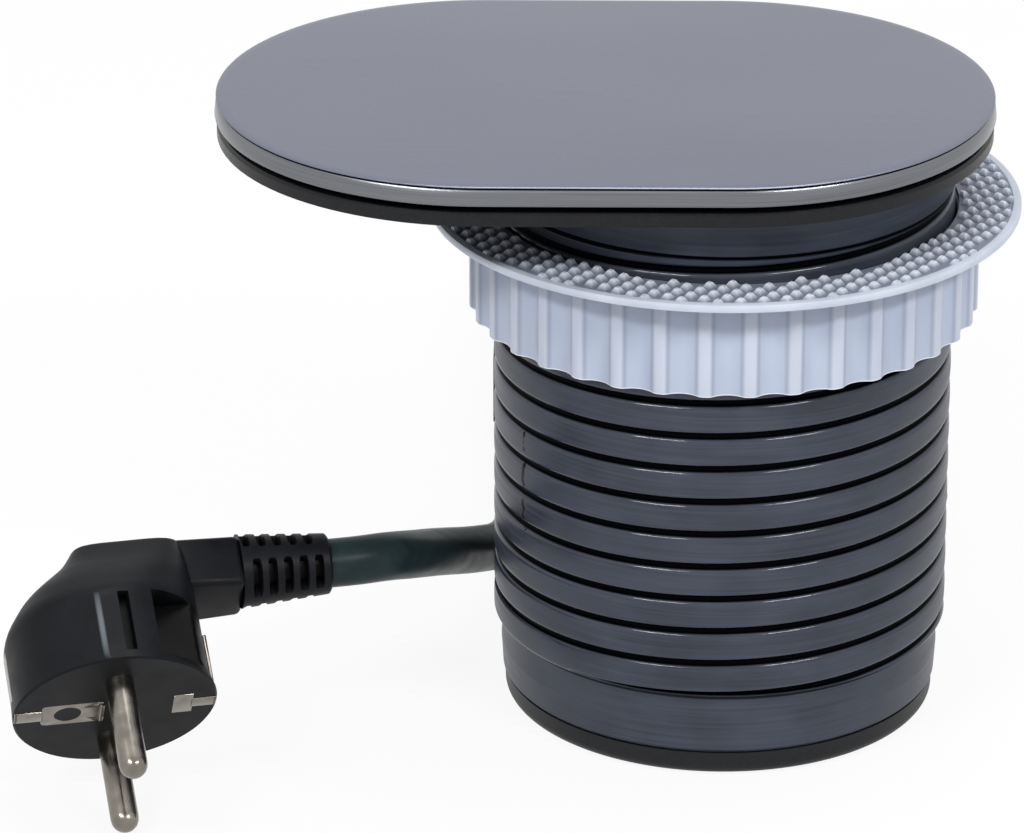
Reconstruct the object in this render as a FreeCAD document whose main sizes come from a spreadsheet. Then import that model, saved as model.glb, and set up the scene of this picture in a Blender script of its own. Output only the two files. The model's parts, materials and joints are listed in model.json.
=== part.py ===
import FreeCAD, Part
import math
import os
from types import SimpleNamespace

import Sketcher

# Desk socket: a threaded barrel hangs in a round hole of a worktop, a ribbed nut
# clamps it from below, and a steel lid swings off the socket on top.
# Lengths are in mm. Z is up, the barrel's axis is the Z axis and z = 0 is the
# bottom face. The lid reaches out over the worktop along -X.

SIZES = {
    # barrel with its outside thread
    "barrel_radius": 39.5,
    "barrel_wall": 2.9,
    "barrel_bottom": 15.5,
    "thread_pitch": 6.0,
    "thread_depth": 0.9,
    "thread_groove": 1.5,
    "thread_root": 0.9,
    "plain_neck": 8.1,
    "thread_start": 11.8,
    "relief_width": 0.8,
    "relief_depth": 0.5,
    "edge_chamfer": 0.7,
    "seat_flange": 3.5,
    # cap and cover that close the barrel's lower end
    "cap_step": 1.6,
    "cap_bottom": 4.4,
    "cap_bulge": 0.3,
    "cap_gap": 0.1,
    "spigot_clearance": 0.2,
    "spigot_wall": 2.0,
    "spigot_height": 7.0,
    "cover_step": 0.4,
    "cover_plate": 2.4,
    "cover_round": 2.0,
    "cover_ring_width": 10.0,
    "boss_radius": 3.6,
    "boss_inset": 5.1,
    "boss_height": 12.0,
    # base plate on the worktop and its screws
    "base_overhang": 6.2,
    "plate_span": 41.0,
    "base_bottom": 104.3,
    "base_thickness": 2.3,
    "base_edge": 0.5,
    "base_screw_circle": 33.6,
    "fine_screw_radius": 1.5,
    "screw_clearance": 0.06,
    "sink_clearance": 0.2,
    "screw_head_radius": 2.8,
    "screw_head_height": 1.3,
    # steel lid and its pivot
    "lid_rise": 4.5,
    "lid_plate": 1.6,
    "lid_overhang": 0.1,
    "lid_edge": 0.5,
    "lid_groove": 0.3,
    "band_height": 1.6,
    "band_flare": 0.3,
    "band_width": 1.5,
    "carrier_thickness": 1.5,
    "carrier_clearance": 0.15,
    "pivot_offset": 58.0,
    "rivet_radius": 2.5,
    "rivet_clearance": 0.05,
    "rivet_head_radius": 4.8,
    "rivet_head_height": 1.0,
    "rivet_sink": 0.2,
    "washer_radius": 8.5,
    "washer_gap": 0.05,
    "hub_drop": 0.35,
    "hub_radius": 9.0,
    # clamp nut and its loose grip ring
    "nut_wall": 4.0,
    "nut_bottom": 73.0,
    "nut_height": 17.8,
    "nut_clearance": 0.3,
    "flute_count": 36,
    "flute_radius": 4.2,
    "flute_depth": 1.2,
    "lug_count": 3,
    "lug_depth": 0.9,
    "lug_width": 0.7,
    "lug_angle": 24.0,
    "ring_reach": 7.0,
    "ring_thickness": 1.9,
    "ring_gap": 0.3,
    "ring_edge": 0.4,
    # socket insert with its round well
    "well_radius": 19.8,
    "well_depth": 17.7,
    "insert_flange_radius": 30.0,
    "insert_gap": 0.3,
    "cup_radius": 22.9,
    "cup_clearance": 0.3,
    "floor_thickness": 2.4,
    "pin_spacing": 19.0,
    "pin_hole_radius": 3.1,
    "earth_slot_width": 5.6,
    "earth_slot_margin": 4.5,
    "rib_width": 3.5,
    "rib_height": 1.2,
    "insert_screw_circle": 26.6,
    # contacts, shutter and terminals behind the well
    "carrier_body_radius": 20.0,
    "carrier_depth": 40.4,
    "shutter_depth": 2.2,
    "shutter_thickness": 1.5,
    "shutter_width": 27.0,
    "shutter_front": 4.5,
    "shutter_back": 10.5,
    "shutter_travel": 5.5,
    "shutter_play": 0.3,
    "spring_length": 11.0,
    "spring_radius": 0.8,
    "spring_wire": 0.3,
    "post_radius": 2.4,
    "centre_screw_radius": 1.2,
    "centre_head_radius": 2.4,
    "centre_head_height": 1.4,
    "sleeve_radius": 3.3,
    "sleeve_bore": 2.45,
    "sleeve_play": 0.2,
    "terminal_width": 7.0,
    "terminal_height": 8.0,
    "terminal_screw_radius": 1.3,
    "terminal_head_radius": 2.2,
    "wire_hole_radius": 1.5,
    "wire_hole_depth": 5.0,
    "wire_radius": 1.35,
    "earth_arm_place": 20.4,
    "earth_metal": 1.0,
    "earth_width": 5.0,
    # lead, its moulded relief and the clamp inside the cover
    "cord_diameter": 8.4,
    "cord_gap": 0.5,
    "exit_height": 9.9,
    "exit_angle": 55.0,
    "relief_end": 58.5,
    "relief_root_radius": 5.3,
    "relief_tip_radius": 4.75,
    "relief_neck_radius": 4.9,
    "relief_clearance": 0.1,
    "relief_inner_end": 32.2,
    "relief_inner_radius": 5.4,
    "relief_flange_gap": 0.6,
    "inside_turn": 19.0,
    "inside_bend": 9.0,
    "inside_bend_height": 14.0,
    "inside_end": 3.0,
    "inside_rise": 24.0,
    "wire_room": 22.2,
    "clamp_place": 25.5,
    "clamp_length": 25.0,
    "clamp_width": 6.0,
    "clamp_top": 16.6,
    "clamp_screw_spacing": 18.0,
    "pillar_radius": 2.8,
    # hank of put-away lead behind the barrel
    "fold_radius": 25.2,
    "hank_near": 81.0,
    "hank_run": 70.0,
    "hank_middle": 2.2,
    "hank_lift": 0.7,
    "tie_width": 14.0,
    "tie_thickness": 0.6,
    "tie_clearance": 0.1,
    "tie_place": 116.0,
    # plug: its origin is the middle of the face that meets a wall socket
    "plug_x": -102.5,
    "plug_y": -53.8,
    "plug_z": 19.9,
    "plug_yaw": 13.2,
    "plug_pitch": 54.5,
    "face_radius": 17.4,
    "face_half_width": 16.4,
    "plug_length": 28.8,
    "panel_set_back": 0.4,
    "panel_height": 14.0,
    "panel_edge": 7.0,
    "recess_wall": 9.5,
    "groove_place": 1.8,
    "groove_width": 1.6,
    "groove_floor": 15.0,
    "neck_height": 24.4,
    "neck_end": 25.0,
    "neck_half_width": 5.8,
    "neck_half_height": 5.4,
    "pin_radius": 2.4,
    "pin_length": 18.2,
    "pin_root": 8.0,
    "pin_round": 1.4,
    "clip_width": 3.2,
    "clip_pad_width": 6.4,
    "clip_metal": 0.6,
    "clip_side": 12.0,
    "clip_long": 14.4,
    "clip_long_pad": 10.6,
    "clip_short": 6.6,
    "clip_short_pad": 3.4,
    "clip_hole_radius": 2.25,
    "clip_hole_depth": 9.0,
    "plug_relief_end": 40.5,
    "plug_relief_root": 6.3,
    "plug_relief_tip": 4.9,
    "plug_relief_ribs": 5,
}

doc = FreeCAD.newDocument("DeskSocket")
sheet = doc.addObject("Spreadsheet::Sheet", "Sizes")


class Size:
    """A length in mm together with the spreadsheet expression that gives it."""

    def __init__(self, text, value):
        self.text = text
        self.value = float(value)

    def joined(self, sign, other, value):
        return Size("(%s %s %s)" % (self.text, sign, other.text), value)

    def __add__(self, other):
        other = as_size(other)
        return self.joined("+", other, self.value + other.value)

    def __sub__(self, other):
        other = as_size(other)
        return self.joined("-", other, self.value - other.value)

    def __mul__(self, other):
        other = as_size(other)
        return self.joined("*", other, self.value * other.value)

    def __truediv__(self, other):
        other = as_size(other)
        return self.joined("/", other, self.value / other.value)

    def __radd__(self, other):
        return as_size(other) + self

    def __rsub__(self, other):
        return as_size(other) - self

    def __rmul__(self, other):
        return as_size(other) * self

    def __neg__(self):
        return Size("(0 - %s)" % self.text, -self.value)

    def __float__(self):
        return self.value


def as_size(value):
    return value if isinstance(value, Size) else Size("%.9g" % value, value)


for row, (alias, number) in enumerate(SIZES.items(), start=1):
    sheet.set("A%d" % row, alias)
    sheet.set("B%d" % row, str(number))
    sheet.setAlias("B%d" % row, alias)
S = SimpleNamespace(**{alias: Size("Sizes." + alias, number) for alias, number in SIZES.items()})
doc.recompute()

# Places that several pieces share
bore_radius = S.barrel_radius - S.barrel_wall
cap_radius = S.barrel_radius - S.cap_step
cover_radius = cap_radius - S.cover_step
cover_ring = cover_radius - S.cover_ring_width
boss_circle = bore_radius - S.boss_inset
base_radius = S.barrel_radius + S.base_overhang
lid_radius = base_radius + S.lid_overhang
nut_radius = S.barrel_radius + S.nut_clearance + S.nut_wall
ring_radius = nut_radius + S.ring_reach
thread_top = S.base_bottom - S.plain_neck
base_top = S.base_bottom + S.base_thickness
lid_top = base_top + S.lid_rise
carrier_body_bottom = base_top - S.carrier_depth
sheath_end = carrier_body_bottom - S.wire_room
well_floor = base_top - S.well_depth
floor_bottom = well_floor - S.floor_thickness
recess_floor = floor_bottom - S.shutter_depth
lid_plate_bottom = lid_top - S.lid_plate
band_top = lid_plate_bottom - S.lid_groove
lid_bottom = band_top - S.band_height
hub_bottom = lid_plate_bottom - S.carrier_thickness - S.hub_drop
pin_offset = S.pin_spacing / 2
cord_radius = S.cord_diameter / 2
parts = {}


def finish(item, name):
    """Files an object as a sub-part under its own label."""
    item.Label = name
    parts[name] = item
    return item


def bind(item, **rules):
    """Binds properties to expressions. Base_x stands for Placement.Base.x."""
    for key, rule in rules.items():
        path = ".Placement.Base." + key[-1] if key.startswith("Base_") else key
        item.setExpression(path, as_size(rule).text)
    return item


# Sketches and features of the bodies
def new_body(name):
    return doc.addObject("PartDesign::Body", name)


def on_plane(body, sketch, role, height=0):
    plane = [f for f in body.Origin.OriginFeatures if f.Role == role][0]
    sketch.AttachmentSupport = [(plane, "")]
    sketch.MapMode = "FlatFace"
    if isinstance(height, Size) or height:
        sketch.setExpression(".AttachmentOffset.Base.z", as_size(height).text)


def place_vertex(sketch, line, end, x, y):
    for kind, size in (("DistanceX", x), ("DistanceY", y)):
        size = as_size(size)
        index = sketch.addConstraint(Sketcher.Constraint(kind, -1, 1, line, end, size.value))
        if "Sizes" in size.text:
            sketch.setExpression("Constraints[%d]" % index, size.text)


def polygon(body, name, role, points, height=0):
    """A closed outline of straight edges whose corners are bound to sizes."""
    sketch = body.newObject("Sketcher::SketchObject", name)
    on_plane(body, sketch, role, height)
    corners = [FreeCAD.Vector(float(x), float(y), 0) for x, y in points]
    last = len(points) - 1
    for index, corner in enumerate(corners):
        sketch.addGeometry(Part.LineSegment(corner, corners[(index + 1) % len(corners)]), False)
    for index in range(last):
        sketch.addConstraint(Sketcher.Constraint("Coincident", index, 2, index + 1, 1))
    sketch.addConstraint(Sketcher.Constraint("Coincident", last, 2, 0, 1))
    for index, (x, y) in enumerate(points):
        place_vertex(sketch, index, 1, x, y)
    return sketch


def circles(body, name, centres, radius, height=0):
    """Equal circles in the XY plane, their centres and radius bound to sizes."""
    sketch = body.newObject("Sketcher::SketchObject", name)
    on_plane(body, sketch, "XY_Plane", height)
    for index, (x, y) in enumerate(centres):
        middle = FreeCAD.Vector(float(x), float(y), 0)
        sketch.addGeometry(Part.Circle(middle, FreeCAD.Vector(0, 0, 1), float(radius)), False)
        place_vertex(sketch, index, 3, x, y)
        rule = sketch.addConstraint(Sketcher.Constraint("Radius", index, float(radius)))
        sketch.setExpression("Constraints[%d]" % rule, as_size(radius).text)
    return sketch


def stadium(body, name, radius, height):
    """The outline of base and lid: two half circles, one round the barrel's axis."""
    sketch = body.newObject("Sketcher::SketchObject", name)
    on_plane(body, sketch, "XY_Plane", height)
    r, span, up = float(radius), float(S.plate_span), FreeCAD.Vector(0, 0, 1)
    right, left = FreeCAD.Vector(0, 0, 0), FreeCAD.Vector(-span, 0, 0)
    half = math.pi / 2
    sketch.addGeometry(Part.ArcOfCircle(Part.Circle(right, up, r), -half, half), False)
    sketch.addGeometry(Part.ArcOfCircle(Part.Circle(left, up, r), half, 3 * half), False)
    for side in (r, -r):
        ends = FreeCAD.Vector(0, side, 0), FreeCAD.Vector(-span, side, 0)
        sketch.addGeometry(Part.LineSegment(*ends), False)
    for first, end, line, start in ((0, 2, 2, 1), (2, 2, 1, 1), (1, 2, 3, 2), (3, 1, 0, 1)):
        sketch.addConstraint(Sketcher.Constraint("Coincident", first, end, line, start))
    place_vertex(sketch, 0, 3, 0, 0)
    place_vertex(sketch, 1, 3, -S.plate_span, 0)
    sketch.addConstraint(Sketcher.Constraint("Vertical", 0, 1, 0, 2))
    sketch.addConstraint(Sketcher.Constraint("Vertical", 1, 1, 1, 2))
    sketch.addConstraint(Sketcher.Constraint("Equal", 0, 1))
    rule = sketch.addConstraint(Sketcher.Constraint("Radius", 0, r))
    sketch.setExpression("Constraints[%d]" % rule, as_size(radius).text)
    return sketch


def feature(body, kind, name, sketch, **rules):
    item = body.newObject("PartDesign::" + kind, name)
    item.Profile = sketch
    for key, rule in rules.items():
        item.setExpression(key, as_size(rule).text)
    return item


def revolve(body, name, sketch):
    item = body.newObject("PartDesign::Revolution", name)
    item.Profile = sketch
    item.ReferenceAxis = (sketch, ["V_Axis"])
    item.Angle = 360.0
    return item


def pocket_through(body, name, sketch):
    item = body.newObject("PartDesign::Pocket", name)
    item.Profile = sketch
    item.Type = "ThroughAll"
    item.Midplane = True
    return item


def repeat_round(body, name, originals, count):
    item = body.newObject("PartDesign::PolarPattern", name)
    item.Originals = originals
    item.Axis = ([f for f in body.Origin.OriginFeatures if f.Role == "Z_Axis"][0], [""])
    item.Angle = 360.0
    item.setExpression("Occurrences", as_size(count).text)
    body.Tip = item
    return item


def round_edges(body, name, base, radius, chosen):
    """Fillets the edges of a feature that the test picks."""
    doc.recompute()
    names = ["Edge%d" % (i + 1) for i, e in enumerate(base.Shape.Edges) if chosen(e)]
    item = body.newObject("PartDesign::Fillet", name)
    item.Base = (base, names)
    item.setExpression("Radius", as_size(radius).text)
    return item


def bevel_edges(body, name, base, width, chosen):
    """Chamfers the edges of a feature that the test picks."""
    doc.recompute()
    names = ["Edge%d" % (i + 1) for i, e in enumerate(base.Shape.Edges) if chosen(e)]
    item = body.newObject("PartDesign::Chamfer", name)
    item.Base = (base, names)
    item.setExpression("Size", as_size(width).text)
    return item


def level(height):
    """A test for edges that lie flat at one height."""
    z = float(height)
    return lambda e: abs(e.BoundBox.ZMin - z) < 1e-4 and abs(e.BoundBox.ZMax - z) < 1e-4


# Primitives and booleans
def cylinder(name, radius, height, x=0, y=0, z=0):
    item = doc.addObject("Part::Cylinder", name)
    return bind(item, Radius=radius, Height=height, Base_x=x, Base_y=y, Base_z=z)


def cone(name, bottom, top, height, x=0, y=0, z=0):
    item = doc.addObject("Part::Cone", name)
    bind(item, Radius1=bottom, Radius2=top, Height=height)
    return bind(item, Base_x=x, Base_y=y, Base_z=z)


def block(name, length, width, height, x, y, z):
    """A box that starts at x and z and lies evenly about y."""
    item = doc.addObject("Part::Box", name)
    bind(item, Length=length, Width=width, Height=height)
    return bind(item, Base_x=x, Base_y=as_size(y) - as_size(width) / 2, Base_z=z)


def along_x(item):
    item.Placement.Rotation = FreeCAD.Rotation(FreeCAD.Vector(0, 1, 0), 90)
    return item


def fuse(name, *pieces):
    item = doc.addObject("Part::MultiFuse", name)
    item.Shapes = list(pieces)
    item.Refine = True
    return item


def common(name, *pieces):
    item = doc.addObject("Part::MultiCommon", name)
    item.Shapes = list(pieces)
    return item


def cut(name, base, *tools):
    item = doc.addObject("Part::Cut", name)
    item.Base = base
    item.Tool = tools[0] if len(tools) == 1 else fuse(name + "_tools", *tools)
    return item


def together(name, pieces):
    """Separate solids that share one node."""
    item = doc.addObject("Part::Compound", name)
    item.Links = pieces
    return item


def solid(name, shape, placement=None):
    item = doc.addObject("Part::Feature", name)
    item.Shape = shape
    if placement:
        item.Placement = placement
    return item


def turned(item):
    """Turns a piece that is drawn with the lead leaving along X to the lead's true side."""
    item.Placement.Rotation = FreeCAD.Rotation(FreeCAD.Vector(0, 0, 1), float(S.exit_angle))
    return item


def countersunk_screw(name, length, x, y, top):
    """A flat-headed screw whose head ends at the height top."""
    head = cone(name + "_head", S.fine_screw_radius, S.screw_head_radius,
                S.screw_head_height, x, y, top - S.screw_head_height)
    shank = cylinder(name + "_shank", S.fine_screw_radius, length, x, y, top - length)
    return fuse(name, head, shank)


def countersink(name, x, y, top):
    gap = S.sink_clearance
    return cone(name, S.fine_screw_radius + gap, S.screw_head_radius + gap,
                S.screw_head_height, x, y, top - S.screw_head_height)


def around(radius, count, first=0.0):
    """Points on a circle, as sizes that follow its radius."""
    turns = [math.radians(first + 360.0 * i / count) for i in range(count)]
    return [(radius * math.cos(turn), radius * math.sin(turn)) for turn in turns]


# Barrel and what closes it
def threaded_barrel():
    body = new_body("threaded_barrel")
    seat = S.cup_radius + S.cup_clearance
    ring = S.relief_width / 2
    root = S.barrel_radius - S.relief_depth
    flange_bottom = S.base_bottom - S.seat_flange
    profile = polygon(body, "barrel_profile", "XZ_Plane", [
        (bore_radius, S.barrel_bottom),
        (S.barrel_radius - S.edge_chamfer, S.barrel_bottom),
        (S.barrel_radius, S.barrel_bottom + S.edge_chamfer),
        (S.barrel_radius, thread_top - ring),
        (root, thread_top - ring),
        (root, thread_top + ring),
        (S.barrel_radius, thread_top + ring),
        (S.barrel_radius, S.base_bottom),
        (seat, S.base_bottom),
        (seat, flange_bottom),
        (bore_radius, flange_bottom),
    ])
    revolve(body, "barrel_wall_form", profile)
    doc.recompute()
    mouth, floor = S.thread_groove / 2, S.thread_root / 2
    outside = S.barrel_radius + 0.3
    inside = S.barrel_radius - S.thread_depth
    groove = polygon(body, "groove_profile", "XZ_Plane", [
        (inside, S.thread_start - floor),
        (outside, S.thread_start - mouth),
        (outside, S.thread_start + mouth),
        (inside, S.thread_start + floor),
    ])
    thread = body.newObject("PartDesign::SubtractiveHelix", "thread_groove")
    thread.Profile = groove
    thread.ReferenceAxis = (groove, ["V_Axis"])
    thread.Mode = 0
    thread.Pitch = float(S.thread_pitch)
    thread.Height = float(thread_top - S.thread_start)
    thread.setExpression("Pitch", S.thread_pitch.text)
    thread.setExpression("Height", (thread_top - S.thread_start).text)
    holes = circles(body, "barrel_screw_holes",
                    around(S.base_screw_circle, 4, 45) + around(S.insert_screw_circle, 2, 90),
                    S.fine_screw_radius + S.screw_clearance, S.base_bottom)
    feature(body, "Pocket", "barrel_screw_pockets", holes, Length=S.seat_flange + 1)
    finish(body, "threaded_barrel")


def bottom_cap():
    body = new_body("bottom_cap_form")
    top = S.barrel_bottom - S.cap_gap
    spigot = bore_radius - S.spigot_clearance
    inner = spigot - S.spigot_wall
    middle = (S.cap_bottom + top) / 2
    profile = polygon(body, "cap_profile", "XZ_Plane", [
        (inner, S.cap_bottom),
        (cap_radius - S.edge_chamfer, S.cap_bottom),
        (cap_radius, S.cap_bottom + S.edge_chamfer),
        (cap_radius + S.cap_bulge, middle),
        (cap_radius, top - S.edge_chamfer),
        (cap_radius - S.edge_chamfer, top),
        (spigot, top),
        (spigot, top + S.spigot_height),
        (inner, top + S.spigot_height),
    ])
    revolve(body, "cap_form", profile)
    doc.recompute()
    centres = around(boss_circle, 3, 60)
    bosses = circles(body, "cap_bosses", centres, S.boss_radius, S.cap_bottom)
    feature(body, "Pad", "cap_boss_pads", bosses, Length=S.boss_height)
    holes = circles(body, "cap_boss_holes", centres,
                    S.fine_screw_radius + S.screw_clearance, S.cap_bottom)
    cavity = feature(body, "Pocket", "cap_boss_pockets", holes, Length=S.boss_height - 1)
    cavity.Reversed = True
    exit_hole = along_x(cylinder("cap_exit_hole", S.relief_neck_radius + S.relief_clearance,
                                 S.spigot_wall * 4, inner - S.spigot_wall, 0, S.exit_height))
    finish(turned(cut("bottom_cap", body, exit_hole)), "bottom_cap")


def bottom_cover():
    body = new_body("bottom_cover_form")
    top = S.cap_bottom - S.cap_gap
    profile = polygon(body, "cover_profile", "XZ_Plane", [
        (0, 0),
        (cover_radius, 0),
        (cover_radius, top),
        (cover_ring, top),
        (cover_ring, S.cover_plate),
        (0, S.cover_plate),
    ])
    disc = revolve(body, "cover_form", profile)
    body.Tip = round_edges(body, "cover_round_edge", disc, S.cover_round, level(0))
    half = S.clamp_screw_spacing / 2
    pillars = [cylinder("cover_pillar_%d" % side, S.pillar_radius,
                        S.exit_height - S.cover_plate, S.clamp_place, half * side,
                        S.cover_plate) for side in (-1, 1)]
    cradle_height = S.exit_height - S.cover_plate
    cradle = block("cover_cradle", S.clamp_width, S.cord_diameter + 2, cradle_height,
                   S.clamp_place - S.clamp_width / 2, 0, S.cover_plate)
    bed = along_x(cylinder("cover_cord_bed", cord_radius + 0.1, S.clamp_width + 2,
                           S.clamp_place - S.clamp_width / 2 - 1, 0, S.exit_height))
    screw_holes = [cylinder("cover_pillar_hole_%d" % side,
                            S.centre_screw_radius + S.screw_clearance, cradle_height,
                            S.clamp_place, half * side, S.cover_plate) for side in (-1, 1)]
    sinks = []
    for index, (x, y) in enumerate(around(boss_circle, 3, 60)):
        gap = S.sink_clearance + S.screw_clearance
        sinks.append(cone("cover_sink_%d" % index, S.screw_head_radius + gap,
                          S.fine_screw_radius + gap, S.screw_head_height, x, y, 0))
        sinks.append(cylinder("cover_hole_%d" % index,
                              S.fine_screw_radius + S.screw_clearance * 2,
                              S.cap_bottom, x, y, 0))
    built = fuse("cover_solid", body, cradle, *pillars)
    finish(turned(cut("bottom_cover", built, bed, *screw_holes, *sinks)), "bottom_cover")


def bottom_screws():
    screws = []
    for index, (x, y) in enumerate(around(boss_circle, 3, 60)):
        sunk = S.screw_clearance
        head = cone("bottom_screw_head_%d" % index, S.screw_head_radius, S.fine_screw_radius,
                    S.screw_head_height, x, y, sunk)
        shank = cylinder("bottom_screw_shank_%d" % index, S.fine_screw_radius,
                         S.boss_height, x, y, sunk)
        screws.append(fuse("bottom_screw_%d" % index, head, shank))
    finish(turned(together("bottom_screws", screws)), "bottom_screws")


def cord_clamp():
    half = S.clamp_screw_spacing / 2
    gap = 0.1
    low = S.exit_height + gap
    bar = block("clamp_bar", S.clamp_width, S.clamp_length, S.clamp_top - low,
                S.clamp_place - S.clamp_width / 2, 0, low)
    bed = along_x(cylinder("clamp_bed", cord_radius + gap, S.clamp_width + 2,
                           S.clamp_place - S.clamp_width / 2 - 1, 0, S.exit_height))
    holes = [cylinder("clamp_hole_%d" % side, S.centre_screw_radius + S.screw_clearance,
                      S.clamp_top, S.clamp_place, half * side, 0) for side in (-1, 1)]
    finish(turned(cut("cord_clamp", bar, bed, *holes)), "cord_clamp")
    screws = []
    for side in (-1, 1):
        y = half * side
        length = S.clamp_top - S.cover_plate - 1
        head = cylinder("clamp_screw_head_%d" % side, S.centre_head_radius,
                        S.centre_head_height, S.clamp_place, y, S.clamp_top + 0.05)
        shank = cylinder("clamp_screw_shank_%d" % side, S.centre_screw_radius, length,
                         S.clamp_place, y, S.clamp_top + 0.05 - length)
        screws.append(fuse("clamp_screw_%d" % side, head, shank))
    finish(turned(together("cord_clamp_screws", screws)), "cord_clamp_screws")


def cord_relief():
    """Moulded relief on the lead: inner flange, neck in the cap's wall, ribbed taper."""
    body = new_body("cord_relief_form")
    wall_in = bore_radius - S.spigot_clearance - S.spigot_wall
    flange_end = wall_in - S.relief_flange_gap
    wall_out = cap_radius + S.cap_bulge + S.relief_clearance
    points = [
        (0, S.relief_inner_end),
        (S.relief_inner_radius, S.relief_inner_end),
        (S.relief_inner_radius, flange_end),
        (S.relief_neck_radius, flange_end),
        (S.relief_neck_radius, wall_out),
        (S.relief_root_radius, wall_out),
    ]
    ribs = 4
    step = (S.relief_end - wall_out) / (2 * ribs + 1)
    fall = (S.relief_root_radius - S.relief_tip_radius) / (2 * ribs + 1)
    notch = 0.45
    for index in range(ribs):
        near, far = 2 * index + 1, 2 * index + 2
        points += [
            (S.relief_root_radius - fall * near, wall_out + step * near),
            (S.relief_root_radius - fall * near - notch, wall_out + step * near),
            (S.relief_root_radius - fall * far - notch, wall_out + step * far),
            (S.relief_root_radius - fall * far, wall_out + step * far),
        ]
    points += [(S.relief_tip_radius, S.relief_end), (0, S.relief_end)]
    revolve(body, "relief_form", polygon(body, "relief_profile", "XZ_Plane", points))
    lying = FreeCAD.Rotation(FreeCAD.Vector(0, 0, 1), float(S.exit_angle)).multiply(
        FreeCAD.Rotation(FreeCAD.Vector(0, 1, 0), 90))
    body.Placement = FreeCAD.Placement(FreeCAD.Vector(0, 0, float(S.exit_height)), lying)
    finish(body, "cord_relief")


# Base plate and lid
def base_plate():
    body = new_body("base_plate_form")
    outline = stadium(body, "base_outline", base_radius, S.base_bottom)
    slab = feature(body, "Pad", "base_slab", outline, Length=S.base_thickness)
    edge = bevel_edges(body, "base_edges", slab, S.base_edge, level(base_top))
    body.Tip = edge
    doc.recompute()
    for name, centre, radius in (
        ("base_socket_hole", (0, 0), S.insert_flange_radius + S.insert_gap),
        ("base_pivot_hole", (-S.pivot_offset, 0), S.rivet_radius + S.rivet_clearance),
    ):
        pocket_through(body, name, circles(body, name + "_circle", [centre], radius,
                                           S.base_bottom))
    centres = around(S.base_screw_circle, 4, 45)
    gap = S.screw_clearance
    tools = [cylinder("base_screw_hole_%d" % i, S.fine_screw_radius + gap,
                      S.base_thickness, x, y, S.base_bottom)
             for i, (x, y) in enumerate(centres)]
    tools += [countersink("base_screw_sink_%d" % i, x, y, base_top)
              for i, (x, y) in enumerate(centres)]
    head_room = S.rivet_sink + S.rivet_head_height + S.washer_gap
    tools.append(cylinder("base_rivet_recess", S.rivet_head_radius + S.insert_gap, head_room,
                          -S.pivot_offset, 0, S.base_bottom))
    finish(cut("base_plate", body, *tools), "base_plate")
    screws = [countersunk_screw("base_screw_%d" % i, S.base_thickness + S.seat_flange, x, y,
                                base_top - gap) for i, (x, y) in enumerate(centres)]
    finish(together("base_screws", screws), "base_screws")


def lid():
    top = new_body("lid_top_plate")
    outline = stadium(top, "lid_plate_outline", lid_radius, lid_plate_bottom)
    slab = feature(top, "Pad", "lid_plate_slab", outline, Length=S.lid_plate)
    top.Tip = bevel_edges(top, "lid_plate_edge", slab, S.lid_edge, level(lid_top))
    finish(top, "lid_top_plate")

    band = new_body("lid_rim_band")
    flare = band.newObject("PartDesign::AdditiveLoft", "band_flare_form")
    flare.Profile = stadium(band, "band_low", lid_radius + S.band_flare, lid_bottom)
    flare.Sections = [stadium(band, "band_high", lid_radius - S.band_flare, band_top)]
    doc.recompute()
    bore = stadium(band, "band_bore", lid_radius - S.band_width, lid_bottom)
    inside = pocket_through(band, "band_opening", bore)
    band.Tip = inside
    finish(band, "lid_rim_band")

    carrier = new_body("lid_carrier")
    plate = stadium(carrier, "carrier_outline",
                    lid_radius - S.band_width - S.carrier_clearance,
                    lid_plate_bottom - S.carrier_thickness)
    feature(carrier, "Pad", "carrier_plate", plate,
            Length=S.carrier_thickness - S.screw_clearance)
    hub = circles(carrier, "carrier_hub_circle", [(-S.pivot_offset, 0)], S.hub_radius,
                  hub_bottom)
    feature(carrier, "Pad", "carrier_hub", hub, Length=S.hub_drop + S.screw_clearance)
    doc.recompute()
    pocket_through(carrier, "carrier_rivet_hole",
                   circles(carrier, "carrier_rivet_circle", [(-S.pivot_offset, 0)],
                           S.rivet_radius + S.rivet_clearance, hub_bottom))
    finish(carrier, "lid_carrier")

    head_low = S.base_bottom + S.rivet_sink
    shank_length = lid_plate_bottom - S.screw_clearance - head_low
    rivet = fuse("pivot_rivet",
                 cylinder("rivet_head", S.rivet_head_radius, S.rivet_head_height,
                          -S.pivot_offset, 0, head_low),
                 cylinder("rivet_shank", S.rivet_radius, shank_length,
                          -S.pivot_offset, 0, head_low))
    finish(rivet, "pivot_rivet")

    washer_low = base_top + S.washer_gap
    washer_height = hub_bottom - S.washer_gap - washer_low
    washer = cut("friction_washer",
                 cylinder("washer_disc", S.washer_radius, washer_height,
                          -S.pivot_offset, 0, washer_low),
                 cylinder("washer_hole", S.rivet_radius + S.rivet_clearance * 2,
                          washer_height, -S.pivot_offset, 0, washer_low))
    finish(washer, "friction_washer")


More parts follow.
